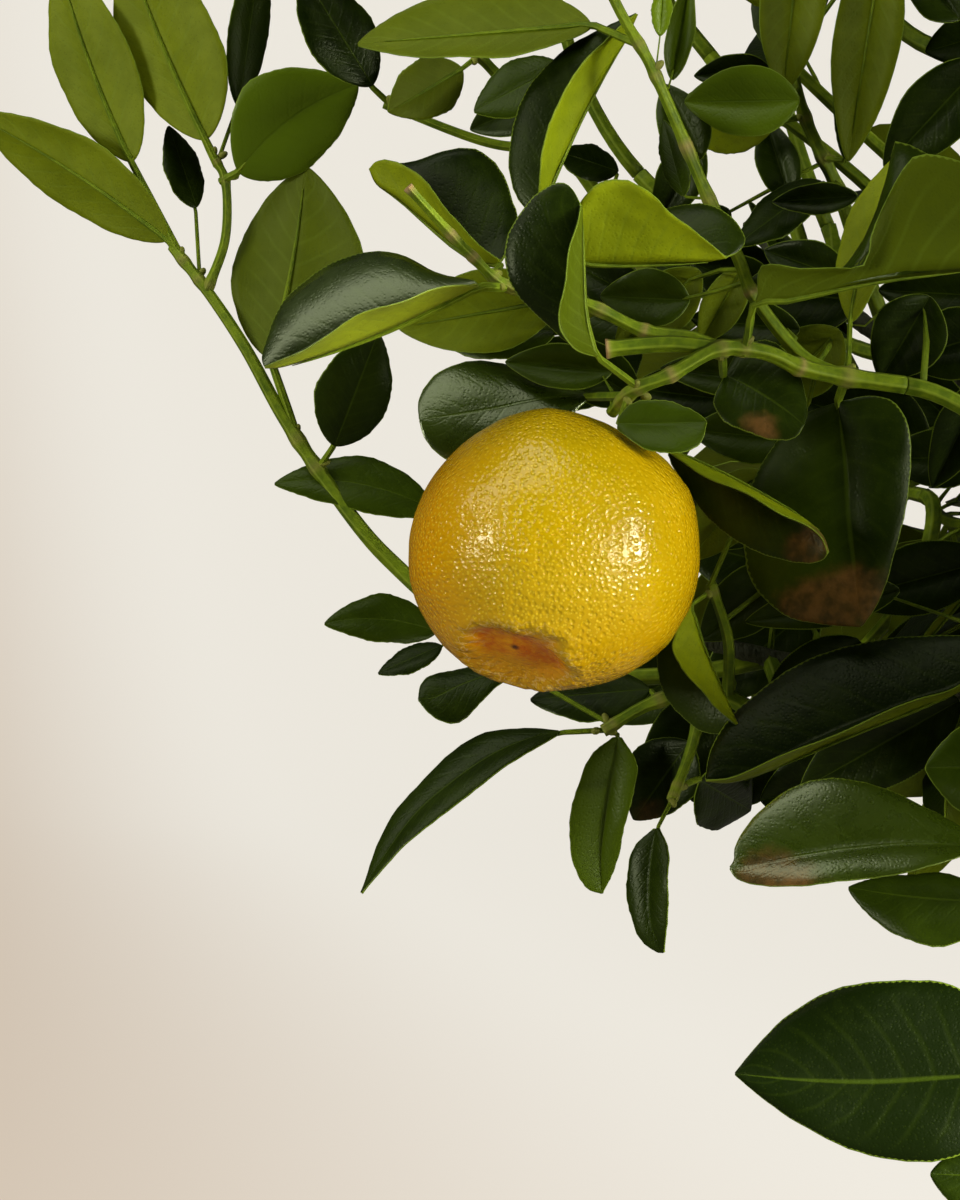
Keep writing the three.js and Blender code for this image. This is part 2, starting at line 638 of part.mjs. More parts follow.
// Open air in the picture, and the layer of leaves that it shows, stay free of the other sprays
function spoilsPicture(point) {
  const [across, down] = toPicture(point);
  const lastRow = OPEN_AIR_ROWS.length - 1;
  if (down < OPEN_AIR_ROWS[0] || down > OPEN_AIR_ROWS[lastRow] || across > OPEN_AIR_COLUMNS[lastRow]) {
    return false;
  }
  const toward = FRUIT_CENTRE.y - point.y;
  if (toward > SHOWN_LAYER) {
    return true;
  }
  let row = 1;
  while (down > OPEN_AIR_ROWS[row]) {
    row += 1;
  }
  const share = (down - OPEN_AIR_ROWS[row - 1]) / (OPEN_AIR_ROWS[row] - OPEN_AIR_ROWS[row - 1]);
  const limit = OPEN_AIR_COLUMNS[row - 1] + (OPEN_AIR_COLUMNS[row] - OPEN_AIR_COLUMNS[row - 1]) * share;
  return across < limit;
}

// Whether a leaf lies across one of the gaps
function hidesGap(leaf) {
  const [foot, end] = [leaf.base, leaf.tip].map((point) => ({ left: point, middle: point, right: point }));
  const rows = [foot, ...leaf.stations, end];
  return rows.slice(1).some((row, i) => GAP_STEPS.some((way) => ['left', 'right'].some((side) => {
    const middle = rows[i].middle.clone().lerp(row.middle, way);
    const edge = rows[i][side].clone().lerp(row[side], way);
    return GAP_STEPS.some((out) => {
      const [across, down] = toPicture(middle.clone().lerp(edge, out));
      return LIGHT_GAPS.some(([x, y, radius]) => Math.hypot(across - x, down - y) < radius);
    });
  })));
}

// Seeded draws between 0 and 1
function dice(seed) {
  let state = seed;
  return () => {
    state = (state * 16807) % 2147483647;
    return state / 2147483647;
  };
}

const drawn = (draw, [least, most]) => least + (most - least) * draw();

// Wood: trunk, main branches and the branchlets that carry the sprays
const smoothCurve = (points) => new THREE.CatmullRomCurve3(points, false, 'catmullrom');
const trunkCurve = smoothCurve(TRUNK_PATH.map((point) => new THREE.Vector3(...point)));
const trunkRadius = (share) => {
  const place = share * (TRUNK_RADII.length - 1);
  const index = Math.min(Math.floor(place), TRUNK_RADII.length - 2);
  return TRUNK_RADII[index] + (TRUNK_RADII[index + 1] - TRUNK_RADII[index]) * (place - index);
};

function trunkShareAt(height) {
  let share = 0;
  while (trunkCurve.getPoint(share).z < height) {
    share += 0.002;
  }
  return share;
}

const limbs = [limb(trunkCurve, trunkRadius, TRUNK_SIDES, TRUNK_STEPS)];
const anchors = [];
const branchEnds = [];
for (let share = TRUNK_ANCHORS.from; share < TRUNK_ANCHORS.to; share += TRUNK_ANCHORS.step) {
  anchors.push({ point: trunkCurve.getPoint(share), radius: trunkRadius(share) });
}

const upright = (bottom, top) => new THREE.LineCurve3(
  new THREE.Vector3(0, 0, bottom),
  new THREE.Vector3(0, 0, top),
);
const flareRadius = (share, angle) => {
  const lobe = 1 + FLARE_LOBE_DEPTH * (1 - share) * Math.cos(FLARE_LOBES * angle);
  const spread = (FLARE_RADIUS - TRUNK_SOCKET_RADIUS) * (1 - share) ** FLARE_STEEPNESS;
  return (TRUNK_SOCKET_RADIUS - 1 + spread) * lobe;
};
limbs.push(limb(upright(TRUNK_FOOT, TRUNK_PATH[0][2] + TRUNK_JOIN), () => TRUNK_SOCKET_RADIUS, 10, 1));
limbs.push(limb(upright(SOIL_TOP + CLEARANCE, SOIL_TOP + FLARE_HEIGHT), flareRadius, 15, 2));

for (const [compass, height, reach, rise] of MAIN_BRANCHES) {
  const angle = THREE.MathUtils.degToRad(compass);
  const share = trunkShareAt(height);
  const start = trunkCurve.getPoint(share);
  const out = new THREE.Vector3(Math.cos(angle), Math.sin(angle), 0);
  const end = start.clone().addScaledVector(out, reach).addScaledVector(up, rise);
  const middle = start.clone().addScaledVector(out, reach * BRANCH_ARCH_REACH);
  middle.addScaledVector(up, rise * BRANCH_ARCH_RISE);
  const curve = new THREE.QuadraticBezierCurve3(start, middle, end);
  const thick = trunkRadius(share) * BRANCH_SHARE;
  const radiusAt = (along) => thick + (BRANCH_TIP_RADIUS - thick) * along ** BRANCH_TAPER;
  limbs.push(limb(curve, radiusAt, 5, 4));
  for (let along = BRANCH_ANCHORS.from; along < BRANCH_ANCHORS.to; along += BRANCH_ANCHORS.step) {
    anchors.push({ point: curve.getPoint(along), radius: radiusAt(along) });
  }
  keepClearOf(stemCage(curve, thick * 0.7, 10), woodBeads);
  branchEnds.push({ point: end, direction: curve.getTangent(1) });
}
keepClearOf(stemCage(trunkCurve, TRUNK_ROOM, 30), woodBeads);

// A branchlet from the nearest wood below to a given tip, ending in the given direction
function branchlet(tip, direction) {
  let best = anchors[0];
  let bestCost = Infinity;
  for (const anchor of anchors) {
    const climb = Math.max(0, anchor.point.z + BRANCHLET_CLIMB - tip.z);
    const cost = anchor.point.distanceTo(tip) + BRANCHLET_CLIMB_COST * climb;
    if (cost < bestCost) {
      best = anchor;
      bestCost = cost;
    }
  }
  const length = best.point.distanceTo(tip);
  const control = tip.clone().addScaledVector(direction, -BRANCHLET_ARCH * length);
  const curve = new THREE.QuadraticBezierCurve3(best.point, control, tip);
  const thick = Math.min(best.radius * BRANCHLET_SHARE, BRANCH_TIP_RADIUS + length * BRANCHLET_THICKENING);
  const radiusAt = (share) => thick + (BRANCH_TIP_RADIUS - thick) * share;
  const geometry = limb(curve, radiusAt, 4, length > LONG_BRANCHLET ? 3 : 2);
  return { geometry, cage: stemCage(curve, (thick + BRANCH_TIP_RADIUS) / 2, 20) };
}

const group = new THREE.Group();

function addPiece(name, solid, color, roughness) {
  const material = new THREE.MeshStandardMaterial({ color, roughness, metalness: 0 });
  const mesh = new THREE.Mesh(geometryOf(solid), material);
  mesh.name = name;
  group.add(mesh);
}

// Pot: an oval bowl with a rim and two drainage holes in its flat base
function oval(profile) {
  const points = profile.map(([radius, height]) => new THREE.Vector2(radius, height));
  const geometry = new THREE.LatheGeometry(points, POT_SIDES);
  geometry.rotateX(Math.PI / 2);
  geometry.scale(1, POT_DEPTH_RATIO, 1);
  return solidOf(geometry);
}

function post(radius, bottom, top, x, sides) {
  const geometry = new THREE.CylinderGeometry(radius, radius, top - bottom, sides);
  geometry.rotateX(Math.PI / 2);
  geometry.translate(x, 0, (top + bottom) / 2);
  return solidOf(geometry);
}

const rimBottom = POT_HEIGHT - POT_RIM_HEIGHT;
let pot = oval([
  [0, 0],
  [POT_BASE_RADIUS - POT_FOOT_BEVEL, 0],
  [POT_BASE_RADIUS, POT_FOOT_BEVEL],
  [POT_WALL_RADIUS, rimBottom],
  [POT_RIM_RADIUS, rimBottom + POT_RIM_BEVEL],
  [POT_RIM_RADIUS, POT_HEIGHT - POT_RIM_BEVEL],
  [POT_RIM_RADIUS - POT_LIP, POT_HEIGHT],
  [POT_INNER_RADIUS, POT_HEIGHT],
  [POT_INNER_BASE_RADIUS, POT_FLOOR],
  [0, POT_FLOOR],
]);
for (const side of [-1, 1]) {
  pot = pot.subtract(post(DRAIN_RADIUS, -1, POT_FLOOR + 1, side * DRAIN_OFFSET, 14));
}

// Soil: fills the pot, level round the trunk and lower at the rim, with a plain hole for the trunk
const innerRadiusAt = (height) => POT_INNER_BASE_RADIUS
  + (POT_INNER_RADIUS - POT_INNER_BASE_RADIUS) * (height - POT_FLOOR) / (POT_HEIGHT - POT_FLOOR);
const wallGap = CLEARANCE / POT_DEPTH_RATIO;
const soilFloor = POT_FLOOR + CLEARANCE;
const soilEdge = SOIL_TOP - SOIL_EDGE_DROP;
const soil = oval([
  [0, soilFloor],
  [innerRadiusAt(soilFloor) - wallGap, soilFloor],
  [innerRadiusAt(soilEdge) - wallGap, soilEdge],
  [(SOIL_FLAT_RADIUS + POT_INNER_RADIUS) / 2, SOIL_TOP - SOIL_SHOULDER_DROP],
  [SOIL_FLAT_RADIUS, SOIL_TOP],
  [0, SOIL_TOP],
]).subtract(post(TRUNK_SOCKET_RADIUS + SOCKET_GAP, TRUNK_FOOT - CLEARANCE, SOIL_TOP + 1, 0, 24));

// Fruit: a little flattened, with a broad hollow at the blossom end and a small one at the stalk
function hollowDepth({ depth, width, steepness }, angle) {
  return depth * Math.exp(-((angle / width) ** steepness));
}

function fruitGeometry() {
  const geometry = new THREE.SphereGeometry(1, FRUIT_SIDES, FRUIT_RINGS);
  const position = geometry.attributes.position;
  for (let i = 0; i < position.count; i += 1) {
    const direction = new THREE.Vector3().fromBufferAttribute(position, i);
    const height = direction.y;
    const angle = Math.atan2(direction.z, direction.x);
    const fromBlossom = Math.acos(Math.max(-1, Math.min(1, -height)));
    const fromStalk = Math.PI - fromBlossom;
    const round = Math.sqrt(1 - height * height);
    const lumps = FRUIT_LUMPS.height * round * Math.cos(FRUIT_LUMPS.count * angle + FRUIT_LUMPS.turn);
    const sunk = hollowDepth(BLOSSOM_HOLLOW, fromBlossom) + hollowDepth(STALK_HOLLOW, fromStalk);
    const radius = 1 + (lumps - sunk) / FRUIT_POLE;
    position.setXYZ(i, direction.x * FRUIT_EQUATOR * radius, height * FRUIT_POLE * radius,
      direction.z * FRUIT_EQUATOR * radius);
  }
  const turn = new THREE.Quaternion().setFromUnitVectors(new THREE.Vector3(0, 1, 0), FRUIT_AXIS);
  geometry.applyQuaternion(turn);
  geometry.translate(FRUIT_CENTRE.x, FRUIT_CENTRE.y, FRUIT_CENTRE.z);
  return geometry;
}

// The shown shoots, each grown from the wood at the first point of its first twig
const shoots = [];
for (const [name, shown] of Object.entries(SHOWN_SHOOTS)) {
  const solids = [];
  let start = null;
  for (const twig of shown.twigs) {
    const points = twig.path.map(fromPicture);
    const curve = smoothCurve(points);
    const [thick, thin] = twig.radii;
    const radiusAt = (share) => thick + (thin - thick) * share;
    solids.push(solidOf(limb(curve, radiusAt, twig.sides, points.length - 1)));
    keepClearOf(stemCage(curve, thick, points.length * 3), twigBeads);
    start = start ?? { point: points[0], direction: curve.getTangent(0) };
  }
  for (const row of shown.leaves) {
    const leaf = shownLeaf(row);
    solids.push(solidOf(bladeGeometry(leaf)));
    keepClearOf(leafCage(leaf));
  }
  shoots.push({ name, solids });
  const tip = start.point.clone().addScaledVector(start.direction, -CLEARANCE);
  const carrier = branchlet(tip, start.direction);
  limbs.push(carrier.geometry);
  keepClearOf(carrier.cage, woodBeads);
}

// The fruit's own room
const fruitCage = leafCage({
  root: FRUIT_CENTRE,
  base: FRUIT_CENTRE.clone().addScaledVector(alongX, -FRUIT_EQUATOR),
  tip: FRUIT_CENTRE.clone().addScaledVector(alongX, FRUIT_EQUATOR),
  stations: [{
    left: FRUIT_CENTRE.clone().addScaledVector(up, -FRUIT_EQUATOR),
    middle: FRUIT_CENTRE,
    right: FRUIT_CENTRE.clone().addScaledVector(up, FRUIT_EQUATOR),
  }],
});
keepClearOf(fruitCage);

// The other sprays: at the ends of the main branches, inside the crown behind the shown shoots,
// and spread evenly round the crown
const sprays = [];

function addSpray(tip, direction, carrier, seed) {
  const reach = tip.clone().addScaledVector(direction, SPRAY_REACH);
  if (spoilsPicture(tip) || spoilsPicture(reach)) {
    return;
  }
  const draw = dice(seed);
  const length = drawn(draw, SPRAY_LENGTH);
  const bend = new THREE.Vector3(draw() - 0.5, draw() - 0.5, draw() - 0.2);
  bend.multiplyScalar(SPRAY_BEND * length);
  const start = tip.clone().addScaledVector(direction, CLEARANCE);
  const curve = new THREE.QuadraticBezierCurve3(
    start,
    start.clone().addScaledVector(direction, length / 2),
    start.clone().addScaledVector(direction, length).add(bend),
  );
  const cage = stemCage(curve, TWIG_RADIUS, 16);
  if (!isFree(cage) || stemTooNear(cage, woodBeads) || stemTooNear(cage, twigBeads)) {
    return;
  }
  if (carrier) {
    if (!isFree(carrier.cage) || stemTooNear(carrier.cage, twigBeads)) {
      return;
    }
    limbs.push(carrier.geometry);
    keepClearOf(carrier.cage, woodBeads);
  }
  keepClearOf(cage, twigBeads);
  const outward = tip.clone().sub(CROWN_CENTRE).normalize();
  const radiusAt = (share) => TWIG_RADIUS + (TWIG_TIP_RADIUS - TWIG_RADIUS) * share;
  sprays.push({ curve, outward, draw, solids: [solidOf(limb(curve, radiusAt, 4, 2))] });
}

branchEnds.forEach((end, i) => addSpray(end.point, end.direction, null, 31 + 5 * i));

INNER_SPRAYS.forEach(([place, way], i) => {
  const tip = new THREE.Vector3(...place);
  const direction = new THREE.Vector3(...way).normalize();
  addSpray(tip, direction, branchlet(tip, direction), 61 + 3 * i);
});

for (let i = 0; i < CROWN_POINTS; i += 1) {
  const height = 1 - 2 * (i + 0.5) / CROWN_POINTS;
  if (height < CROWN_LOWEST) {
    break;
  }
  const around = Math.sqrt(1 - height * height);
  const angle = GOLDEN_ANGLE * i;
  const outward = new THREE.Vector3(around * Math.cos(angle), around * Math.sin(angle), height);
  const tip = outward.clone().multiply(CROWN_RADII).add(CROWN_CENTRE);
  const direction = outward.addScaledVector(up, SPRAY_LIFT).normalize();
  addSpray(tip, direction, branchlet(tip, direction), 101 + 7 * i);
}

// One leaf of a spray, turned and shortened until it is free of what is already there
function growLeaf(spray, number) {
  const { curve, outward, draw } = spray;
  const place = number / (LEAVES_PER_SPRAY - 1);
  const share = LEAF_FIRST_PLACE + (1 - LEAF_FIRST_PLACE) * place;
  const root = curve.getPoint(Math.min(share, LEAF_LAST_PLACE));
  const axis = curve.getTangent(share);
  const side = (Math.abs(axis.z) > 0.8 ? alongX : up).clone().cross(axis).normalize();
  const other = side.clone().cross(axis);
  const size = drawn(draw, LEAF_SIZE);
  const { foot, tip, spread } = SPRAY_SPLAY;
  const splay = THREE.MathUtils.degToRad(foot + (tip - foot) * share + spread * (draw() - 0.5));
  const tilt = new THREE.Vector3(draw() - 0.5, draw() - 0.5, draw() - 0.5).multiplyScalar(LEAF_TILT);
  const droop = drawn(draw, LEAF_DROOP);
  const fold = drawn(draw, LEAF_FOLD);
  for (let attempt = 0; attempt < LEAF_TRIES; attempt += 1) {
    const turn = GOLDEN_ANGLE * number + LEAF_TURN_PER_TRY * attempt;
    const radial = side.clone().multiplyScalar(Math.cos(turn)).addScaledVector(other, Math.sin(turn));
    const stalk = axis.clone().multiplyScalar(Math.cos(splay)).addScaledVector(radial, Math.sin(splay));
    const base = root.clone().addScaledVector(stalk, LEAF_STALK);
    const forward = stalk.clone().addScaledVector(outward, LEAF_OUTWARD);
    forward.addScaledVector(up, -LEAF_SINK).normalize();
    const lift = up.clone().multiplyScalar(0.8).addScaledVector(outward, 0.5).add(tilt);
    lift.addScaledVector(forward, -lift.dot(forward));
    if (lift.length() < 0.25) {
      lift.copy(radial).addScaledVector(forward, -radial.dot(forward));
    }
    lift.normalize();
    const length = LEAF_LENGTH * size * (1 - LEAF_LOSS_PER_TRY * attempt);
    const right = forward.clone().cross(lift);
    const shape = { root, base, forward, lift, right, length, half: LEAF_HALF_WIDTH * length, droop, fold };
    const leaf = plainLeaf(shape);
    const cage = leafCage(leaf);
    const outline = [
      leaf.base,
      ...leaf.stations.map((station) => station.left),
      leaf.tip,
      ...leaf.stations.map((station) => station.right).reverse(),
      leaf.base,
    ];
    const rim = { beads: [] };
    for (let i = 1; i < outline.length; i += 1) {
      for (const way of [0.25, 0.5, 0.75, 1]) {
        rim.beads.push({ point: outline[i - 1].clone().lerp(outline[i], way), radius: 0.2 });
      }
    }
    const stalkBeads = [0, 0.3, 0.6, 0.8, 1].map((way) => ({
      point: root.clone().lerp(base, way),
      radius: STALK_RADIUS,
    }));
    const clear = !stemTooNear({ beads: stalkBeads }, woodBeads)
      && !stemTooNear({ beads: stalkBeads.slice(2) }, twigBeads)
      && !stemTooNear(rim, woodBeads) && !stemTooNear(rim, twigBeads);
    if (clear && !outline.some(spoilsPicture) && isFree(cage)) {
      keepClearOf(cage);
      if (!hidesGap(leaf)) {
        spray.solids.push(solidOf(bladeGeometry(leaf)));
      }
      return;
    }
  }
}

for (let number = LEAVES_PER_SPRAY - 1; number >= 0; number -= 1) {
  for (const spray of sprays) {
    growLeaf(spray, number);
  }
}

addPiece('pot', pot, CLAY_BROWN, 0.75);
addPiece('soil', soil, SOIL_BROWN, 0.95);
addPiece('wood', joined(limbs.map(solidOf)), BARK_BROWN, 0.85);
addPiece('fruit', solidOf(fruitGeometry()), FRUIT_YELLOW, 0.4);
for (const shoot of shoots) {
  addPiece(shoot.name, joined(shoot.solids), LEAF_GREEN, LEAF_ROUGHNESS);
}
sprays.forEach((spray, index) => {
  const name = `spray_${String(index + 1).padStart(2, '0')}`;
  addPiece(name, joined(spray.solids), index % 3 ? LEAF_GREEN : LEAF_OLIVE, LEAF_ROUGHNESS);
});

export default group;
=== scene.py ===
# Yuzu bonsai in an oval clay pot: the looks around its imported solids.
# The growth plan is worked out in millimetres by the same rule as the solids, so each fine
# leaf and twig lies where its plain one does. Meshes are written in metres.
import math
from functools import partial

import bmesh
import bpy
import numpy as np
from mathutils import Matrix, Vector, noise


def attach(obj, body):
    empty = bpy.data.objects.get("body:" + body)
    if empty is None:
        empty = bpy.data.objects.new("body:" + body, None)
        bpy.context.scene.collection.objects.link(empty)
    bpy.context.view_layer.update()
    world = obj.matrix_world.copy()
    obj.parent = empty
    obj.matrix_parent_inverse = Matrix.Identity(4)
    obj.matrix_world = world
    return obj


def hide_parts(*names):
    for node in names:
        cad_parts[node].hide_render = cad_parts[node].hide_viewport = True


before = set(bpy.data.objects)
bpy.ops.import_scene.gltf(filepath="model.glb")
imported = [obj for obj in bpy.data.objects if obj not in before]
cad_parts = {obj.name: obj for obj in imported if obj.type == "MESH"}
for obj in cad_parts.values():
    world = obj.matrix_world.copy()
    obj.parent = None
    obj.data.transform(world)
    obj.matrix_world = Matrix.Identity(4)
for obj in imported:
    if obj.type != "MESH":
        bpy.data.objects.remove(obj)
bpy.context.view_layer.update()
mm = 0.001  # in metres
goldenAngle = math.pi * (3 - math.sqrt(5))
up = np.array([0.0, 0.0, 1.0])
alongX = np.array([1.0, 0.0, 0.0])


def newObject(name, data):
    item = bpy.data.objects.new(name, data)
    bpy.context.scene.collection.objects.link(item)
    return item


# Camera and picture
eyeSettings = {
    "fruitCentre": (-108.0, -50.0, 318.0),
    "distance": 700.0,          # from the eye to the fruit's centre
    "pixelsPerMm": 5.6,         # at the fruit's centre
    "pictureCentre": (480.0, 600.0),
    "fruitInPicture": (553.0, 549.0),
    "sensor": 36.0,
    "longSide": 1200.0,
    "nearest": 0.05,
}
fruitCentre = np.array(eyeSettings["fruitCentre"])
eyeDistance, pixelsPerMm = eyeSettings["distance"], eyeSettings["pixelsPerMm"]
midAcross, midDown = eyeSettings["pictureCentre"]
eye = np.array([
    fruitCentre[0] - (eyeSettings["fruitInPicture"][0] - midAcross) / pixelsPerMm,
    fruitCentre[1] - eyeDistance,
    fruitCentre[2] + (eyeSettings["fruitInPicture"][1] - midDown) / pixelsPerMm,
])


def makeCamera():
    data = bpy.data.cameras.new("picture_camera")
    data.sensor_width = eyeSettings["sensor"]
    shown = eyeSettings["longSide"] / pixelsPerMm  # mm of the fruit's plane on the long side
    data.lens = eyeSettings["sensor"] * eyeDistance / shown
    data.clip_start = eyeSettings["nearest"]
    camera = newObject("picture_camera", data)
    camera.location = Vector(eye) * mm
    camera.rotation_euler = (math.pi / 2, 0, 0)  # level, looking along +Y
    bpy.context.scene.camera = camera


makeCamera()
print("camera is in place")


# Lines and surfaces of the growth plan
def unit(vector):
    length = math.sqrt(float(vector @ vector))
    return vector / length if length else vector


def crossways(axis, chord=None):
    # two directions square to a stem; its whole run chooses them, so that nothing twists
    run = axis if chord is None else chord
    side = unit(np.cross(alongX if abs(run[2]) > 0.8 else up, axis))
    return side, np.cross(side, axis)


def catmull(points):
    points = [np.asarray(p, float) for p in points]
    last = len(points) - 1

    def at(share):
        place = last * share
        index = min(int(place), last - 1)
        weight = place - index
        before = points[index - 1] if index > 0 else 2 * points[0] - points[1]
        here, there = points[index], points[index + 1]
        after = points[index + 2] if index + 2 <= last else 2 * points[last] - points[last - 1]
        slope0, slope1 = 0.5 * (there - before), 0.5 * (after - here)
        c2 = -3 * here + 3 * there - 2 * slope0 - slope1
        c3 = 2 * here - 2 * there + slope0 + slope1
        return here + slope0 * weight + c2 * weight * weight + c3 * weight ** 3
    return at


def arc(start, middle, end):
    def at(share):
        rest = 1 - share
        return rest * rest * start + 2 * rest * share * middle + share * share * end
    return at


def heading(curve, share, step=0.0001):
    return unit(curve(min(share + step, 1)) - curve(max(share - step, 0)))


def dice(seed):
    # seeded draws between 0 and 1
    state, modulus = seed, 2147483647

    def draw():
        nonlocal state
        state = (state * 16807) % modulus
        return state / modulus
    return draw


def stepped(start, end, step):
    # like range, for shares
    while start < end:
        yield start
        start += step


def tapered(thick, thin, power=1):
    # a stem's radius by the share of its length
    return lambda share: thick + (thin - thick) * share ** power


def fromPicture(places):
    # places are across and down in the picture's pixels, and toward the eye in mm
    places = np.asarray(places, float)
    across, down, toward = places[..., 0], places[..., 1], places[..., 2]
    scale = (eyeDistance - toward) / eyeDistance / pixelsPerMm
    return np.stack([
        eye[0] + (across - midAcross) * scale,
        fruitCentre[1] - toward,
        eye[2] - (down - midDown) * scale,
    ], axis=-1)


def toPicture(point):
    scale = eyeDistance * pixelsPerMm / (point[1] - eye[1])
    return midAcross + (point[0] - eye[0]) * scale, midDown - (point[2] - eye[2]) * scale


def bladeProfile(share):
    return np.maximum(np.sin(np.pi * share ** 0.85), 0) ** 0.75


# Room taken by leaves and stems
spaceSettings = {"margin": 1.3, "spacing": 1.0, "footBeads": 2, "shellLines": 6}
cages = []
cageBalls = np.zeros((6000, 4))
woodBeads = {"rows": np.zeros((16000, 4)), "count": 0}
twigBeads = {"rows": np.zeros((16000, 4)), "count": 0}


def leafCage(leaf):
    base, tip, stations = leaf["base"], leaf["tip"], leaf["stations"]
    first, last = stations[0], stations[-1]
    triangles, flat = [], []
    for side in ("left", "right"):
        triangles += [(base, first["middle"], first[side]), (last["middle"], last[side], tip)]
        flat += [(base, first[side]), (last[side], tip)]
        for i, here in enumerate(stations):
            flat.append((here["middle"], here[side]))
            if i:
                before = stations[i - 1]
                triangles += [(before["middle"], here["middle"], here[side]),
                              (before["middle"], before[side], here[side])]
                flat += [(before[side], here[side]), (before["middle"], here["middle"])]
    flat += [(base, first["middle"]), (last["middle"], tip)]
    lift = unit(np.cross(first["right"] - first["left"], unit(tip - base)))
    flat = np.array(flat)
    margin = spaceSettings["margin"]
    lines = np.concatenate([flat + lift * height for height in (-margin, 0, margin)]
                           + [np.array([(leaf["root"], base)])])
    centre = (base + tip) / 2
    ends = [leaf["root"], tip] + [s[k] for s in stations for k in ("left", "right")]
    reach = max(np.linalg.norm(end - centre) for end in ends) + margin
    return {"triangles": np.array(triangles), "lines": lines, "centre": centre, "reach": reach, "beads": []}


def stemCage(curve, radius, steps):
    side, other = crossways(unit(curve(1) - curve(0)))
    points = [curve(i / steps) for i in range(steps + 1)]
    shell = radius + spaceSettings["margin"]
    lines = []
    for turn in range(spaceSettings["shellLines"]):
        angle = turn * 2 * math.pi / spaceSettings["shellLines"]
        shift = side * (math.cos(angle) * shell) + other * (math.sin(angle) * shell)
        lines += [(points[i] + shift, points[i + 1] + shift) for i in range(steps)]
    centre = curve(0.5)
    reach = max(np.linalg.norm(centre - points[0]), np.linalg.norm(centre - points[-1])) + shell
    return {"triangles": np.zeros((0, 3, 3)), "lines": np.array(lines), "centre": centre, "reach": reach,
            "beads": [(*point, radius) for point in points]}


def pierced(lines, triangles):
    if not len(triangles):
        return False
    start, way = lines[:, None, 0], (lines[:, 1] - lines[:, 0])[:, None]
    corner = triangles[None, :, 0]
    edge1, edge2 = triangles[None, :, 1] - corner, triangles[None, :, 2] - corner
    cross = np.cross(way, edge2)
    det = (edge1 * cross).sum(-1)
    flat = np.abs(det) < 1e-9
    det = np.where(flat, 1, det)
    toStart = start - corner
    first = (toStart * cross).sum(-1) / det
    turned = np.cross(toStart, edge1)
    second = (way * turned).sum(-1) / det
    along = (edge2 * turned).sum(-1) / det
    hit = (~flat & (first >= 0) & (first <= 1) & (second >= 0) & (first + second <= 1)
           & (along >= 0) & (along <= 1))
    return bool(hit.any())


def isFree(cage):
    balls = cageBalls[:len(cages)]
    away = np.linalg.norm(balls[:, :3] - cage["centre"], axis=1) - balls[:, 3] - cage["reach"]
    near = [cages[i] for i in np.nonzero(away <= 0)[0]]
    if not near:
        return True
    triangles, lines = (np.concatenate([other[key] for other in near]) for key in ("triangles", "lines"))
    return not (pierced(cage["lines"], triangles) or pierced(lines, cage["triangles"]))


def keepClearOf(cage, stems=None):
    cageBalls[len(cages)] = (*cage["centre"], cage["reach"])
    cages.append(cage)
    if stems is not None:
        last = stems["count"] + len(cage["beads"])
        stems["rows"][stems["count"]:last] = cage["beads"]
        stems["count"] = last


def tooNear(beads, stems):
    beads = np.array(beads[spaceSettings["footBeads"]:])
    if not len(beads) or not stems["count"]:
        return False
    others = stems["rows"][:stems["count"]]
    gaps = np.linalg.norm(beads[:, None, :3] - others[None, :, :3], axis=2)
    return bool((gaps < beads[:, None, 3] + others[None, :, 3] + spaceSettings["spacing"]).any())


# open air in the picture, and the layer of leaves that it shows, stay free of the other sprays
airSettings = {
    "rows": [-40, 250, 560, 700, 800, 880, 930, 1240],
    "columns": [650, 610, 650, 690, 770, 860, 990, 990],
    "right": 990,
    "shownLayer": -24,
}


def spoilsPicture(point):
    across, down = toPicture(point)
    rows, columns = airSettings["rows"], airSettings["columns"]
    if down < rows[0] or down > rows[-1] or across > airSettings["right"]:
        return False
    if fruitCentre[1] - point[1] > airSettings["shownLayer"]:
        return True
    return across < np.interp(down, rows, columns)


# where light shows through the crown in the picture: across, down and radius of each gap
lightGaps = [
    (745, 172, 24), (716, 182, 15), (816, 150, 22), (817, 238, 21), (838, 22, 15), (815, 72, 11),
    (893, 86, 21), (730, 24, 22), (706, 48, 11), (933, 4, 11), (925, 517, 20),
]
gapSteps = np.array([0, 0.2, 0.4, 0.6, 0.8, 1])


def coversGap(points, margin=0):
    across, down = toPicture(np.asarray(points).T)
    return any(np.any(np.hypot(across - x, down - y) < radius + margin) for x, y, radius in lightGaps)


def hidesGap(leaf):
    lines = {key: np.array([leaf["base"], *(station[key] for station in leaf["stations"]), leaf["tip"]])
             for key in ("left", "middle", "right")}
    ways = gapSteps[:, None, None]
    left, middle, right = (line[:-1] + (line[1:] - line[:-1]) * ways for line in lines.values())
    halves = (middle + (edge - middle) * ways[..., None] for edge in (left, right))
    return any(coversGap(points.reshape(-1, 3)) for points in halves)


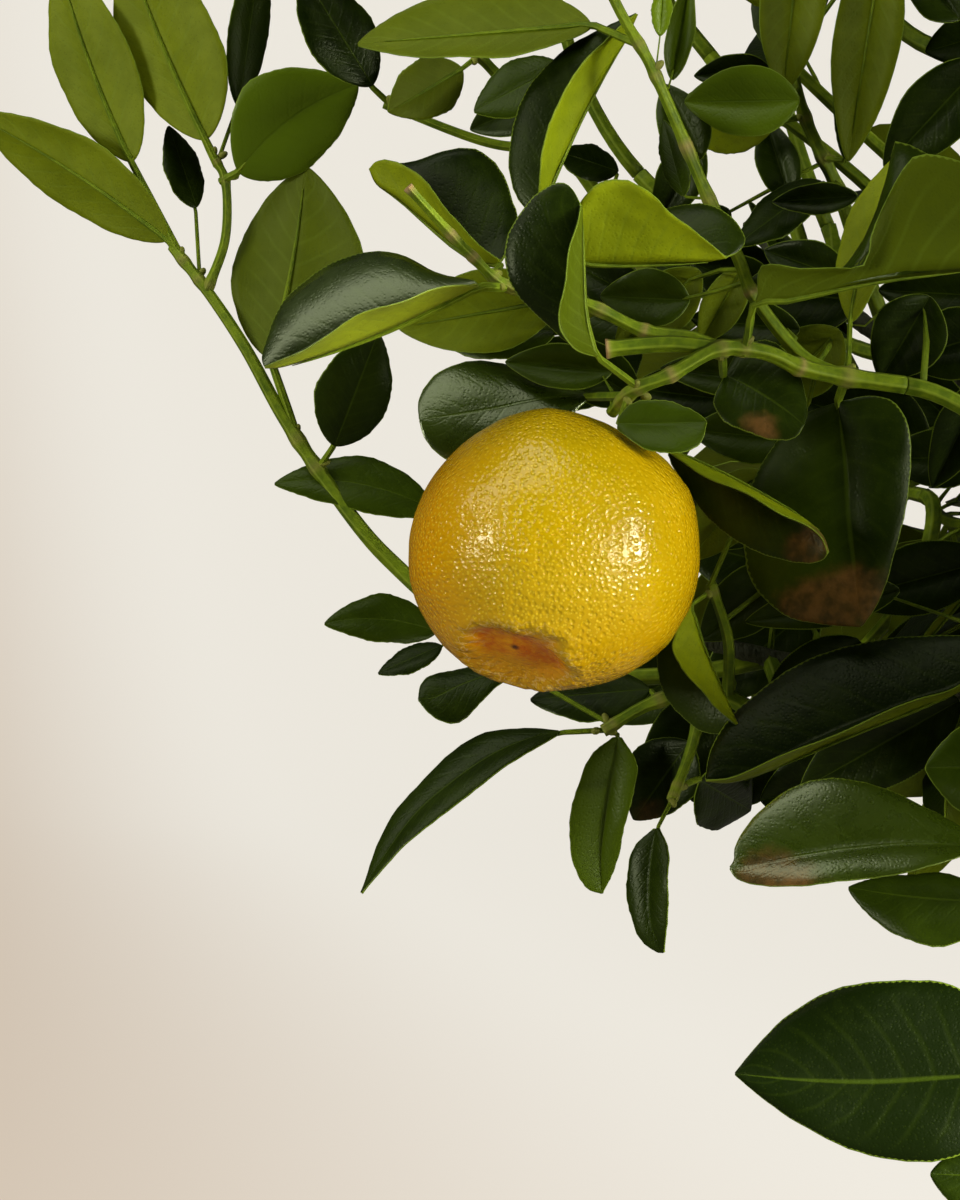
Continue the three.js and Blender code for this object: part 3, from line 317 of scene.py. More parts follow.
# Trunk, branches and branchlets
woodSettings = {
    "foot": 42.0, "socket": 16.0, "socketTop": 90, "soilTop": 77.0, "clearance": 0.3,
    "flareRadius": 31.0, "flareHeight": 34.0, "flareLobes": 5, "lobeDepth": 0.22, "flareSteepness": 2.2,
    "path": [(0, 0, 84), (9, 3, 130), (2, -4, 180), (-3, 2, 232), (6, 6, 292), (1, 0, 350), (-6, -3, 405),
             (-2, 0, 444)],
    "radii": [17, 15.5, 14, 12.5, 9.5, 6.8, 4.2, 2.2],
    "room": 12,            # kept clear round the trunk's middle line
    "branches": [          # compass angle, height on the trunk, reach, rise
        (356, 212, 108, 46), (66, 228, 98, 44), (306, 244, 88, 26), (126, 262, 88, 34), (186, 286, 88, 16),
        (246, 300, 66, 34), (22, 306, 84, 46), (96, 326, 80, 46), (158, 340, 76, 44), (286, 322, 74, 42),
    ],
    "branchShare": 0.5,    # of the trunk's thickness
    "branchTip": 1.7,
    "branchTaper": 0.7,
    "branchArch": (0.55, 0.2),
    "trunkAnchors": (0.5, 0.97, 0.03),     # where branchlets may start: from, to, step
    "branchAnchors": (0.3, 0.85, 0.1),
}
branchletSettings = {
    "climb": 8, "climbCost": 0.8,       # its foot lies lower than its tip where that costs little
    "arch": 0.42,
    "share": 0.8,                       # of the thickness that it leaves, at most
    "thin": 1.7, "thickening": 0.012,   # a short one, and more per mm of its length
}
trunkCurve = catmull(woodSettings["path"])
branches = []      # (curve, thickness at the start)
branchlets = []    # (curve, thickness at the start)
anchors = []
branchEnds = []


def trunkRadius(share):
    radii = woodSettings["radii"]
    return float(np.interp(share * (len(radii) - 1), range(len(radii)), radii))


for share in stepped(*woodSettings["trunkAnchors"]):
    anchors.append((trunkCurve(share), trunkRadius(share)))
for compass, height, reach, rise in woodSettings["branches"]:
    share = next(share for share in stepped(0, 1, 0.002) if trunkCurve(share)[2] >= height)
    angle = math.radians(compass)
    start = trunkCurve(share)
    out = np.array([math.cos(angle), math.sin(angle), 0])
    end = start + out * reach + up * rise
    archReach, archRise = woodSettings["branchArch"]
    curve = arc(start, start + out * (reach * archReach) + up * (rise * archRise), end)
    thick = trunkRadius(share) * woodSettings["branchShare"]
    radiusAt = tapered(thick, woodSettings["branchTip"], woodSettings["branchTaper"])
    anchors += [(curve(along), radiusAt(along)) for along in stepped(*woodSettings["branchAnchors"])]
    branches.append((curve, thick))
    keepClearOf(stemCage(curve, thick * 0.7, 10), woodBeads)
    branchEnds.append((end, heading(curve, 1)))
keepClearOf(stemCage(trunkCurve, woodSettings["room"], 30), woodBeads)


def branchlet(tip, direction):
    rule = branchletSettings

    def cost(anchor):
        climb = max(0, anchor[0][2] + rule["climb"] - tip[2])
        return float(np.linalg.norm(anchor[0] - tip)) + rule["climbCost"] * climb
    foot, footRadius = min(anchors, key=cost)
    length = float(np.linalg.norm(foot - tip))
    curve = arc(foot, tip - direction * (rule["arch"] * length), tip)
    thick = min(footRadius * rule["share"], rule["thin"] + length * rule["thickening"])
    return curve, thick, stemCage(curve, (thick + woodSettings["branchTip"]) / 2, 20)


# The shown shoots: each point is [across, down, toward], in the picture's pixels and mm
shownShoots = {
    "fruit_shoot": {
        "twigs": [
            ([(905, 385, -8), (841, 376, -6), (800, 367, -3), (764, 352, 0), (718, 349, 3), (672, 374, 5),
              (634, 390, 4), (612, 412, -4)], 1.7, 1.15),
            ([(722, 350, 2), (670, 344, 2), (606, 349, 2)], 1.7, 1.6),
            ([(726, 352, 2), (690, 338, 0), (642, 330, -2), (583, 303, 0), (510, 287, 4), (470, 254, 8),
              (408, 187, 12)], 1.3, 1.1),
            ([(841, 376, -6), (800, 354, -7), (755, 298, -6), (737, 255, -5), (709, 199, -3), (673, 115, 0),
              (650, 64, 2), (622, 15, 3), (600, -30, 4)], 1.6, 1.1),
        ],
        "leaves": {  # root, base, tip, bow, left edge, right edge
            "L1": ((507, 287, 4), (477, 288, 10), (263, 367, 13), (12, 0), (-24, 10), (-72, -2)),
            "L2": ((640, 389, 4), (602, 369, 16), (564, 182, 18), (0, 0), (76, -2), (18, 9)),
            "L3": ((556, 298, 2), (572, 250, 9), (742, 243, 14), (2, 0), (-20, 5), (62, -5)),
            "L4": ((494, 275, 5), (512, 240, -10), (371, 165, -22), (5, 0), (-24, 6), (-62, -4)),
            "L5": ((512, 287, 4), (534, 216, -4), (637, 13, -8), (-4, 0), (60, -4), (27, 7)),
            "L7": ((626, 396, 0), (588, 396, -17), (419, 427, -14), (-8, 0), (34, 3), (-46, -6)),
            "L8": ((628, 394, 3), (622, 416, 9), (707, 425, 11), (0, 0), (23, 0), (-24, 4)),
            "L9": ((640, 389, 4), (668, 450, -9), (828, 553, 2), (4, 0), (22, -4), (-34, -5)),
            "L10": ((722, 350, 3), (724, 376, -10), (804, 426, -5), (0, 0), (38, -3), (-38, 3)),
            "R1": ((744, 351, 2), (764, 302, 6), (1015, 262, 14), (-6, 0), (6, -13), (104, 3)),
            "R2": ((848, 377, -6), (851, 322, -14), (905, 150, -22), (8, 0), (-22, 4), (27, -4)),
            "R3": ((846, 377, -6), (838, 402, -12), (858, 627, -9), (2, 0), (70, 2), (-98, -7)),
            "L27": ((640, 45, 2), (592, 26, -9), (357, 45, -14), (0, 0), (-48, -4), (23, 6)),
            "bud1": ((655, 77, 2), (660, 36, 3), (664, -22, 3), (0, 0), (10, 1), (-10, 1)),
            "L11": ((600, 309, -1), (556, 332, -24), (410, 318, -32), (0, 0), (34, 4), (-34, -4)),
            "L6": ((709, 199, -3), (684, 196, -14), (664, 120, -24), (0, 0), (14, -2), (-14, 2)),
        },
    },
    "back_shoot": {
        "twigs": [
            ([(452, 618, -60), (400, 570, -62), (367, 536, -62), (329, 486, -64), (283, 417, -67),
              (245, 348, -70), (207, 291, -74), (172, 247, -78)], 1.7, 1.0),
            ([(207, 291, -74), (225, 240, -74), (226, 185, -74), (216, 160, -75)], 1.0, 0.8),
        ],
        "leaves": {
            "LA": ((182, 260, -77), (168, 240, -78), (-30, 112, -86), (-6, 0), (-36, 4), (34, -4)),
            "LB": ((184, 262, -77), (132, 162, -81), (58, -46, -88), (6, 0), (-42, 4), (36, -4)),
            "LC": ((216, 162, -75), (206, 140, -76), (122, -66, -84), (4, 0), (-56, 4), (42, -4)),
            "LE": ((224, 180, -74), (238, 172, -72), (358, 84, -68), (12, 0), (54, 3), (-50, -3)),
            "LD": ((217, 164, -75), (238, 106, -79), (262, -66, -84), (0, 0), (20, 3), (-20, -3)),
            "LG": ((200, 282, -75), (196, 208, -82), (168, 126, -86), (0, 0), (18, 3), (-18, -3)),
            "LF": ((298, 440, -66), (272, 360, -69), (306, 166, -74), (-4, 0), (-74, 5), (58, -5)),
            "LH": ((318, 469, -65), (334, 446, -61), (378, 332, -57), (0, 0), (38, 3), (-36, -3)),
            "LI": ((430, 598, -61), (436, 512, -66), (274, 484, -64), (-14, 0), (26, 3), (-28, -3)),
            "L25": ((440, 607, -61), (436, 632, -56), (324, 624, -50), (-8, 0), (22, 3), (-26, -3)),
            "L26": ((446, 612, -61), (442, 646, -66), (378, 674, -66), (0, 0), (13, 2), (-13, -2)),
        },
    },
    "low_shoot": {
        "twigs": [
            ([(764, 716, -36), (706, 690, -36), (650, 704, -36), (603, 731, -36)], 1.7, 1.0),
            ([(728, 698, -36), (728, 640, -30), (711, 584, -23)], 1.2, 0.9),
            ([(706, 690, -36), (690, 752, -32), (672, 800, -26)], 1.2, 0.9),
        ],
        "leaves": {
            "L14": ((712, 590, -24), (694, 614, -17), (737, 726, -10), (-8, 0), (14, 5), (-40, -4)),
            "L15": ((614, 726, -36), (520, 672, -40), (418, 706, -37), (0, 0), (21, 3), (-23, -4)),
            "L16": ((606, 730, -36), (560, 732, -34), (361, 894, -31), (-25, 0), (24, 5), (-24, -5)),
            "L17": ((606, 730, -36), (612, 744, -42), (603, 894, -47), (-6, 0), (27, 3), (-31, 3)),
            "L18": ((674, 796, -26), (657, 830, -18), (665, 953, -15), (-6, 0), (17, 4), (-27, -2)),
            "low1": ((660, 701, -36), (650, 690, -42), (530, 700, -44), (0, 0), (27, 4), (-24, -4)),
            "low2": ((676, 788, -28), (700, 780, -38), (750, 810, -58), (0, 0), (40, 3), (-40, -3)),
            "low3": ((698, 722, -34), (690, 742, -44), (634, 820, -52), (0, 0), (34, 4), (-40, -4)),
        },
    },
    "side_shoot": {
        "twigs": [
            ([(1120, 720, -12), (1070, 726, -6), (1040, 770, 2), (1012, 846, 4)], 1.7, 1.0),
            ([(1068, 726, -6), (1046, 686, -8), (1020, 652, -9)], 1.2, 0.9),
        ],
        "leaves": {
            "L19": ((1024, 658, -9), (992, 640, -10), (705, 780, -6), (22, 0), (-16, 8), (-88, -7)),
            "L20": ((1013, 842, 4), (986, 850, 6), (729, 868, 9), (-8, 0), (31, 5), (-71, -5)),
            "L21": ((1020, 826, 4), (1004, 902, -20), (848, 888, -30), (4, 0), (46, 4), (-26, -5)),
            "L24": ((1044, 762, 1), (1034, 768, 12), (925, 768, 18), (0, 0), (52, 2), (-50, -3)),
        },
    },
    "hanging_shoot": {
        "twigs": [([(1150, 980, -22), (1100, 1010, -18), (1050, 1060, -15), (1030, 1090, -14)], 1.7, 1.0)],
        "leaves": {
            "L22": ((1050, 1060, -15), (1008, 1074, -14), (734, 1074, -12), (-6, 0), (86, 2), (-92, -3)),
            "L23": ((1036, 1082, -14), (1064, 1180, -22), (930, 1174, -20), (0, 0), (52, 3), (-44, -3)),
            "hang1": ((1086, 1022, -17), (1120, 1060, -10), (1290, 1150, 0), (0, 0), (60, 3), (-60, -3)),
        },
    },
    "upper_shoot": {
        "twigs": [
            ([(690, 330, -66), (632, 246, -64), (580, 170, -60), (524, 104, -56), (476, 52, -54)], 1.7, 1.0),
            ([(560, 147, -59), (490, 143, -58), (384, 104, -54)], 1.1, 0.8),
        ],
        "leaves": {
            "up1": ((478, 56, -54), (462, 68, -50), (388, 112, -44), (0, 0), (-30, 3), (30, -3)),
            "up2": ((500, 78, -55), (562, 66, -48), (474, 112, -42), (0, 0), (28, 3), (-28, -3)),
            "up3": ((606, 208, -62), (618, 172, -56), (556, 152, -50), (0, 0), (18, 3), (-18, -3)),
            "up4": ((644, 262, -64), (684, 246, -60), (780, 268, -54), (0, 0), (22, 3), (-22, -3)),
            "up5": ((480, 56, -54), (490, 26, -60), (520, -110, -70), (0, 0), (38, 3), (-38, -3)),
            "up6": ((660, 286, -65), (636, 322, -60), (560, 410, -50), (0, 0), (36, 3), (-36, -3)),
            "up7": ((394, 108, -54), (372, 86, -50), (300, -30, -46), (0, 0), (34, 3), (-34, -3)),
        },
    },
    "top_shoot": {
        "twigs": [
            ([(886, 330, -62), (862, 262, -58), (838, 190, -54), (806, 120, -50), (790, 60, -46)], 1.7, 1.0),
        ],
        "leaves": {
            "top1": ((790, 64, -46), (794, 44, -44), (806, -120, -40), (0, 0), (34, 3), (-34, -3)),
            "top2": ((822, 158, -52), (846, 160, -46), (888, -60, -36), (0, 0), (27, 3), (-27, -3)),
            "top3": ((804, 116, -50), (776, 122, -44), (668, 112, -40), (0, 0), (-36, 3), (36, -3)),
            "top4": ((838, 190, -54), (822, 182, -46), (736, 246, -38), (0, 0), (22, 3), (-22, -3)),
            "top5": ((864, 268, -58), (910, 262, -66), (1050, 180, -74), (0, 0), (40, 3), (-40, -3)),
        },
    },
}


def shownSurface(row, share, across):
    # points of a shown blade: share along it, across from -1 (left edge) to 1 (right edge)
    _, base, tip, bow, left, right = row
    base, tip = np.array(base, float), np.array(tip, float)
    way = tip[:2] - base[:2]
    leftward = np.array([way[1], -way[0]]) / math.hypot(way[0], way[1])
    share, across = np.broadcast_arrays(np.asarray(share, float), np.asarray(across, float))
    bend = 4 * share * (1 - share)
    reach = np.abs(across) * bladeProfile(share)
    edge = np.where((across < 0)[..., None], np.array(left, float), np.array(right, float))
    pixels = bow[0] * bend + edge[..., 0] * reach
    toward = bow[1] * bend + edge[..., 1] * reach
    place = base + (tip - base) * share[..., None]
    place[..., :2] += leftward * pixels[..., None]
    place[..., 2] += toward
    return fromPicture(place)


# leaves whose folds need their own lines: the rib and both edges as they run in the picture
tracedLeaves = {
    "L1": {"rib": [(480, 286), (445, 302), (405, 322), (365, 339), (320, 355), (282, 366), (264, 367)],
           "left": [(474, 284), (434, 289), (400, 300), (360, 317), (322, 337), (295, 354), (264, 367)],
           "right": [(476, 281), (440, 273), (400, 256), (360, 255), (325, 264), (300, 285), (280, 310),
                     (267, 340), (262, 357), (264, 367)], "bend": (0, 10)},
    "L2": {"rib": [(597, 357), (590, 340), (585, 320), (583, 290), (582, 250), (581, 205)],
           "left": [(597, 357), (567, 342), (540, 318), (520, 298), (510, 280), (506, 258), (507, 240),
                    (515, 220), (533, 198), (550, 186), (563, 183), (573, 190), (581, 205)],
           "right": [(596, 357), (575, 350), (563, 332), (560, 312), (562, 290), (566, 270), (572, 245),
                     (577, 225), (581, 205)]},
    "L3": {"rib": [(574, 262), (620, 264), (660, 263), (700, 261), (726, 257)],
           "right": [(574, 240), (580, 204), (600, 184), (625, 179), (642, 186), (655, 196), (667, 212),
                     (690, 228), (710, 243), (726, 257)],
           "left": [(574, 255), (610, 235), (650, 215), (672, 206), (697, 203), (722, 211), (738, 226),
                    (745, 240), (739, 251), (726, 257)], "toward": (-5, 6)},
    "L4": {"rib": [(500, 264), (470, 257), (430, 226), (398, 198), (378, 184), (370, 168)],
           "left": [(500, 260), (472, 240), (455, 218), (440, 198), (423, 181), (405, 166), (388, 160),
                    (376, 162), (370, 168)],
           "right": [(505, 255), (517, 222), (512, 200), (505, 180), (495, 162), (480, 150), (465, 148),
                     (440, 154), (410, 162), (385, 163), (370, 168)]},
    "L5": {"rib": [(540, 212), (555, 172), (568, 145), (582, 115), (597, 87), (610, 63), (623, 43), (637,
                   13)],
           "left": [(534, 216), (519, 200), (511, 178), (509, 150), (515, 120), (528, 90), (548, 65),
                    (575, 42),
                    (603, 28), (637, 13)],
           "right": [(537, 205), (541, 170), (544, 145), (549, 122), (560, 98), (575, 75), (590, 56),
                     (607, 38), (622, 24), (637, 13)]},
    "L7": {"rib": [(588, 396), (540, 400), (490, 410), (450, 416), (419, 420)],
           "left": [(588, 400), (540, 440), (480, 462), (445, 458), (426, 440), (419, 420)],
           "right": [(588, 394), (560, 381), (520, 366), (480, 362), (450, 367), (430, 380), (419, 400),
                     (419, 420)]},
    "L8": {"rib": [(618, 424), (650, 424), (680, 423), (707, 422)],
           "left": [(618, 418), (630, 405), (648, 400), (665, 401), (685, 407), (700, 415), (707, 422)],
           "right": [(618, 430), (640, 446), (665, 453), (688, 451), (702, 440), (707, 422)]},
    "L9": {"rib": [(668, 450), (700, 464), (730, 478), (760, 494), (790, 511), (808, 522), (822, 536),
                   (828, 553)],
           "left": [(668, 452), (700, 473), (730, 487), (760, 502), (788, 516), (806, 525), (821, 538),
                    (828, 553)],
           "right": [(668, 455), (690, 495), (725, 533), (770, 556), (805, 563), (822, 560), (828, 553)],
           "toward": (6, -3)},
    "L10": {"rib": [(724, 376), (745, 385), (770, 400), (790, 414), (804, 426)],
            "left": [(724, 376), (740, 350), (762, 340), (782, 348), (797, 370), (805, 392), (807, 412),
                     (804, 426)],
            "right": [(724, 376), (714, 400), (722, 418), (740, 430), (762, 437), (785, 440), (797, 436),
                      (804, 426)]},
    "R1": {"rib": [(755, 302), (800, 297), (850, 285), (900, 277), (960, 270), (1015, 262)],
           "right": [(757, 300), (762, 266), (800, 268), (835, 267), (864, 264), (874, 235), (890, 195),
                     (912, 158), (942, 156), (980, 178), (1015, 262)],
           "left": [(757, 301), (800, 290), (850, 275), (868, 250), (882, 212), (893, 165), (895, 142),
                    (915, 147), (942, 160), (985, 190), (1015, 262)]},
    "R3": {"rib": [(838, 402), (846, 460), (850, 520), (857, 580), (862, 627)],
           "left": [(838, 402), (870, 396), (893, 402), (906, 420), (911, 455), (908, 495), (900, 532),
                    (888, 577), (876, 606), (862, 627)],
           "right": [(838, 402), (795, 420), (762, 465), (744, 520), (748, 572), (768, 602), (792, 618),
                     (830, 625), (862, 627)]},
    "L14": {"rib": [(690, 606), (700, 640), (712, 670), (725, 698), (737, 725)],
            "left": [(686, 612), (672, 645), (682, 666), (697, 687), (714, 705), (737, 725)],
            "right": [(684, 612), (658, 650), (663, 688), (680, 715), (702, 731), (722, 733), (737, 725)]},
    "L15": {"rib": [(520, 672), (490, 676), (460, 686), (435, 698), (418, 700)],
            "left": [(520, 676), (500, 684), (478, 706), (462, 720), (446, 723), (430, 714), (418, 700)],
            "right": [(520, 668), (480, 667), (450, 671), (432, 675), (421, 685), (418, 700)]},
    "L16": {"rib": [(560, 732), (525, 741), (490, 757), (450, 785), (410, 822), (361, 894)],
            "left": [(560, 734), (520, 758), (480, 785), (440, 818), (400, 850), (361, 894)],
            "right": [(560, 731), (530, 728), (500, 730), (480, 735), (440, 763), (400, 805), (378, 845),
                      (361, 894)]},
    "L17": {"rib": [(618, 736), (612, 770), (606, 810), (601, 850), (602, 894)],
            "left": [(622, 738), (637, 765), (631, 800), (622, 840), (613, 872), (602, 894)],
            "right": [(612, 738), (592, 755), (578, 785), (570, 825), (573, 862), (586, 887), (602, 894)]},
    "L18": {"rib": [(657, 828), (652, 860), (650, 895), (652, 925), (664, 953)],
            "left": [(660, 829), (668, 850), (668, 890), (667, 925), (664, 953)],
            "right": [(653, 829), (634, 848), (627, 880), (629, 908), (640, 938), (655, 951), (664, 953)]},
    "L19": {"rib": [(995, 650), (960, 690), (920, 706), (880, 723), (840, 738), (800, 756), (760, 774),
                    (730, 782), (705, 780)],
            "left": [(995, 649), (960, 684), (920, 700), (880, 716), (840, 731), (800, 748), (760, 767),
                     (730, 778), (705, 780)],
            "right": [(995, 640), (960, 636), (900, 637), (850, 646), (800, 665), (760, 690), (730, 718),
                      (711, 750), (705, 780)]},
    "L20": {"rib": [(986, 848), (920, 845), (860, 849), (800, 857), (760, 864), (729, 868)],
            "left": [(986, 849), (965, 855), (930, 867), (900, 874), (840, 881), (800, 887), (760, 885),
                     (738, 879), (729, 868)],
            "right": [(986, 845), (950, 820), (900, 795), (850, 780), (815, 780), (780, 795), (752, 820),
                      (736, 845), (734, 860), (729, 868)]},
    "L22": {"rib": [(1008, 1073), (940, 1078), (870, 1082), (800, 1080), (734, 1074)],
            "left": [(1008, 1076), (980, 1140), (940, 1160), (900, 1161), (860, 1152), (820, 1135),
                     (790, 1118), (760, 1096), (734, 1074)],
            "right": [(1008, 1070), (985, 1010), (950, 985), (910, 980), (860, 984), (820, 996), (785, 1018),
                      (757, 1046), (734, 1074)]},
}


def evenly(points):
    # a smooth line through the points, read by the share of its length
    curve = catmull(points)
    fine = np.array([curve(i / 120) for i in range(121)])
    lengths = np.concatenate([[0], np.cumsum(np.linalg.norm(np.diff(fine, axis=0), axis=1))])
    shares = lengths / lengths[-1]
    return lambda share: np.stack([np.interp(share, shares, fine[:, k]) for k in (0, 1)], axis=-1)


def tracedSurface(row, trace):
    lines = {key: evenly([(x, y, 0) for x, y in trace[key]]) for key in ("rib", "left", "right")}
    towards = trace.get("toward", (row[4][1], row[5][1]))
    bends = trace.get("bend", (0, 0))  # how far each edge bends away, mm

    def surface(share, across):
        share, across = np.broadcast_arrays(np.asarray(share, float), np.asarray(across, float))
        rib = lines["rib"](share)
        edge = np.where((across < 0)[..., None], lines["left"](share), lines["right"](share))
        place = rib + (edge - rib) * np.abs(across)[..., None]
        toward = row[1][2] + (row[2][2] - row[1][2]) * share
        toward = toward + np.where(across < 0, *towards) * np.abs(across) * bladeProfile(share)
        toward = toward - np.where(across < 0, *bends) * across ** 2 * np.sin(np.pi * share)
        return fromPicture(np.concatenate([place, toward[..., None]], axis=-1))
    return surface


def plainSurface(shape, share, across):
    share, across = np.broadcast_arrays(np.asarray(share, float), np.asarray(across, float))
    length, half = shape["length"], shape["half"] * bladeProfile(share)
    point = shape["base"] + shape["forward"] * (length * share)[..., None]
    point = point - shape["lift"] * (shape["droop"] * length * share * share)[..., None]
    point = point + shape["lift"] * (half * np.abs(across) * math.sin(shape["fold"]))[..., None]
    return point + shape["right"] * (half * across * math.cos(shape["fold"]))[..., None]


def asLeaf(surface, root, shares, tone=None):
    # what the rule keeps of a leaf: its stations for the cage, and its surface for the fine blade
    sides = {"left": -1.0, "middle": 0.0, "right": 1.0}
    stations = [{key: surface(share, across) for key, across in sides.items()} for share in shares]
    return {"root": np.asarray(root, float), "base": surface(0.0, 0.0), "tip": surface(1.0, 0.0),
            "stations": stations, "surface": surface, "tone": tone}


# The plan of every shoot and spray, in the order in which the solids were grown
plan = {}  # name: {"stems": [(curve, radius at start, at end)], "leaves": [...]}
shownStations = (0.2, 0.5, 0.8)
for name, shown in shownShoots.items():
    entry = plan[name] = {"stems": [], "leaves": [], "names": list(shown["leaves"])}
    for path, thick, thin in shown["twigs"]:
        points = fromPicture(path)
        curve = catmull(points)
        entry["stems"].append((curve, thick, thin))
        keepClearOf(stemCage(curve, thick, len(points) * 3), twigBeads)
    for leafName, row in shown["leaves"].items():
        leaf = asLeaf(partial(shownSurface, row), fromPicture(row[0]), shownStations)
        entry["leaves"].append(leaf)
        keepClearOf(leafCage(leaf))
        if leafName in tracedLeaves:
            leaf["surface"] = tracedSurface(row, tracedLeaves[leafName])
            leaf["base"] = leaf["surface"](0.0, 0.0)
    first = entry["stems"][0][0]
    towards = heading(first, 0)
    curve, thick, cage = branchlet(first(0) - towards * woodSettings["clearance"], towards)
    branchlets.append((curve, thick))
    keepClearOf(cage, woodBeads)

# the fruit's radius round its middle, and at both ends
equator, pole = 26.2, 25.0
over, beside = up * equator, alongX * equator
keepClearOf(leafCage({
    "root": fruitCentre, "base": fruitCentre - beside, "tip": fruitCentre + beside,
    "stations": [{"left": fruitCentre - over, "middle": fruitCentre, "right": fruitCentre + over}],
}))

crownSettings = {
    "centre": np.array([4.0, 4.0, 362.0]),
    "radii": np.array([114.0, 100.0, 84.0]),
    "points": 56,
    "lowest": -0.8,
    "lean": 0.25,               # how much a spray leans upward
    "reach": 62.0,
    "length": (44, 18),         # least, and more by chance
    "bend": 0.5,
    "leaves": 6,
    "twig": (1.6, 1.2),
    "inner": [((-34, 6, 318), (-0.5, 0.2, 0.1)), ((-40, 30, 300), (-0.3, 0.5, -0.4)),
              ((-44, 34, 345), (-0.6, 0.3, 0.3)), ((-30, 10, 372), (-0.5, -0.2, 0.6)),
              ((-50, 50, 385), (-0.3, 0.3, 0.8)), ((-26, -14, 300), (-0.2, -0.1, -1)),
              ((-30, 50, 330), (-0.2, 0.9, 0.1))],
}
sprays = []


def addSpray(tip, direction, carrier, seed):
    if spoilsPicture(tip) or spoilsPicture(tip + direction * crownSettings["reach"]):
        return
    draw = dice(seed)
    least, more = crownSettings["length"]
    length = least + more * draw()
    bend = np.array([draw() - 0.5, draw() - 0.5, draw() - 0.2]) * (crownSettings["bend"] * length)
    start = tip + direction * woodSettings["clearance"]
    curve = arc(start, start + direction * (length / 2), start + direction * length + bend)
    cage = stemCage(curve, crownSettings["twig"][0], 16)
    if not isFree(cage) or tooNear(cage["beads"], woodBeads) or tooNear(cage["beads"], twigBeads):
        return
    if carrier:
        if not isFree(carrier[2]) or tooNear(carrier[2]["beads"], twigBeads):
            return
        branchlets.append(carrier[:2])
        keepClearOf(carrier[2], woodBeads)
    keepClearOf(cage, twigBeads)
    outward = unit(tip - crownSettings["centre"])
    sprays.append({"curve": curve, "outward": outward, "draw": draw, "leaves": []})


for i, (point, direction) in enumerate(branchEnds):
    addSpray(point, direction, None, 31 + 5 * i)
for i, (place, way) in enumerate(crownSettings["inner"]):
    tip, direction = np.array(place, float), unit(np.array(way, float))
    addSpray(tip, direction, branchlet(tip, direction), 61 + 3 * i)
for i in range(crownSettings["points"]):
    height = 1 - 2 * (i + 0.5) / crownSettings["points"]
    if height < crownSettings["lowest"]:
        break
    around, angle = math.sqrt(1 - height * height), goldenAngle * i
    outward = np.array([around * math.cos(angle), around * math.sin(angle), height])
    tip = outward * crownSettings["radii"] + crownSettings["centre"]
    direction = unit(outward + up * crownSettings["lean"])
    addSpray(tip, direction, branchlet(tip, direction), 101 + 7 * i)

leafSettings = {
    "shares": (0.2, 0.8),       # the lowest leaf's place on its twig, and the way from there to the end
    "lastRoot": 0.985,
    "size": (0.86, 0.28),       # the least and how much more by chance, as for droop and fold
    "droop": (0.04, 0.18),
    "fold": (0.12, 0.4),        # radians
    "splay": (66, -34, 16),     # degrees off the twig at its foot, their change along it, and by chance
    "tilt": 0.9,
    "tries": 8,
    "nextTurn": 0.75,           # radians round the twig from one try to the next
    "shrinking": 0.06,          # from one try to the next
    "stalk": 8.5,
    "outward": 0.3,
    "sinking": 0.12,
    "facing": (0.8, 0.5),       # how much the upper face looks up and outward
    "leastLift": 0.25,
    "length": 47,
    "half": 0.27,               # half the width, as a share of the length
    "stations": (0.36, 0.74),   # where the solids' blade has its corners
    "rimBead": 0.2,             # radii that the rim and the stalk keep clear
    "stalkBead": 0.75,
}


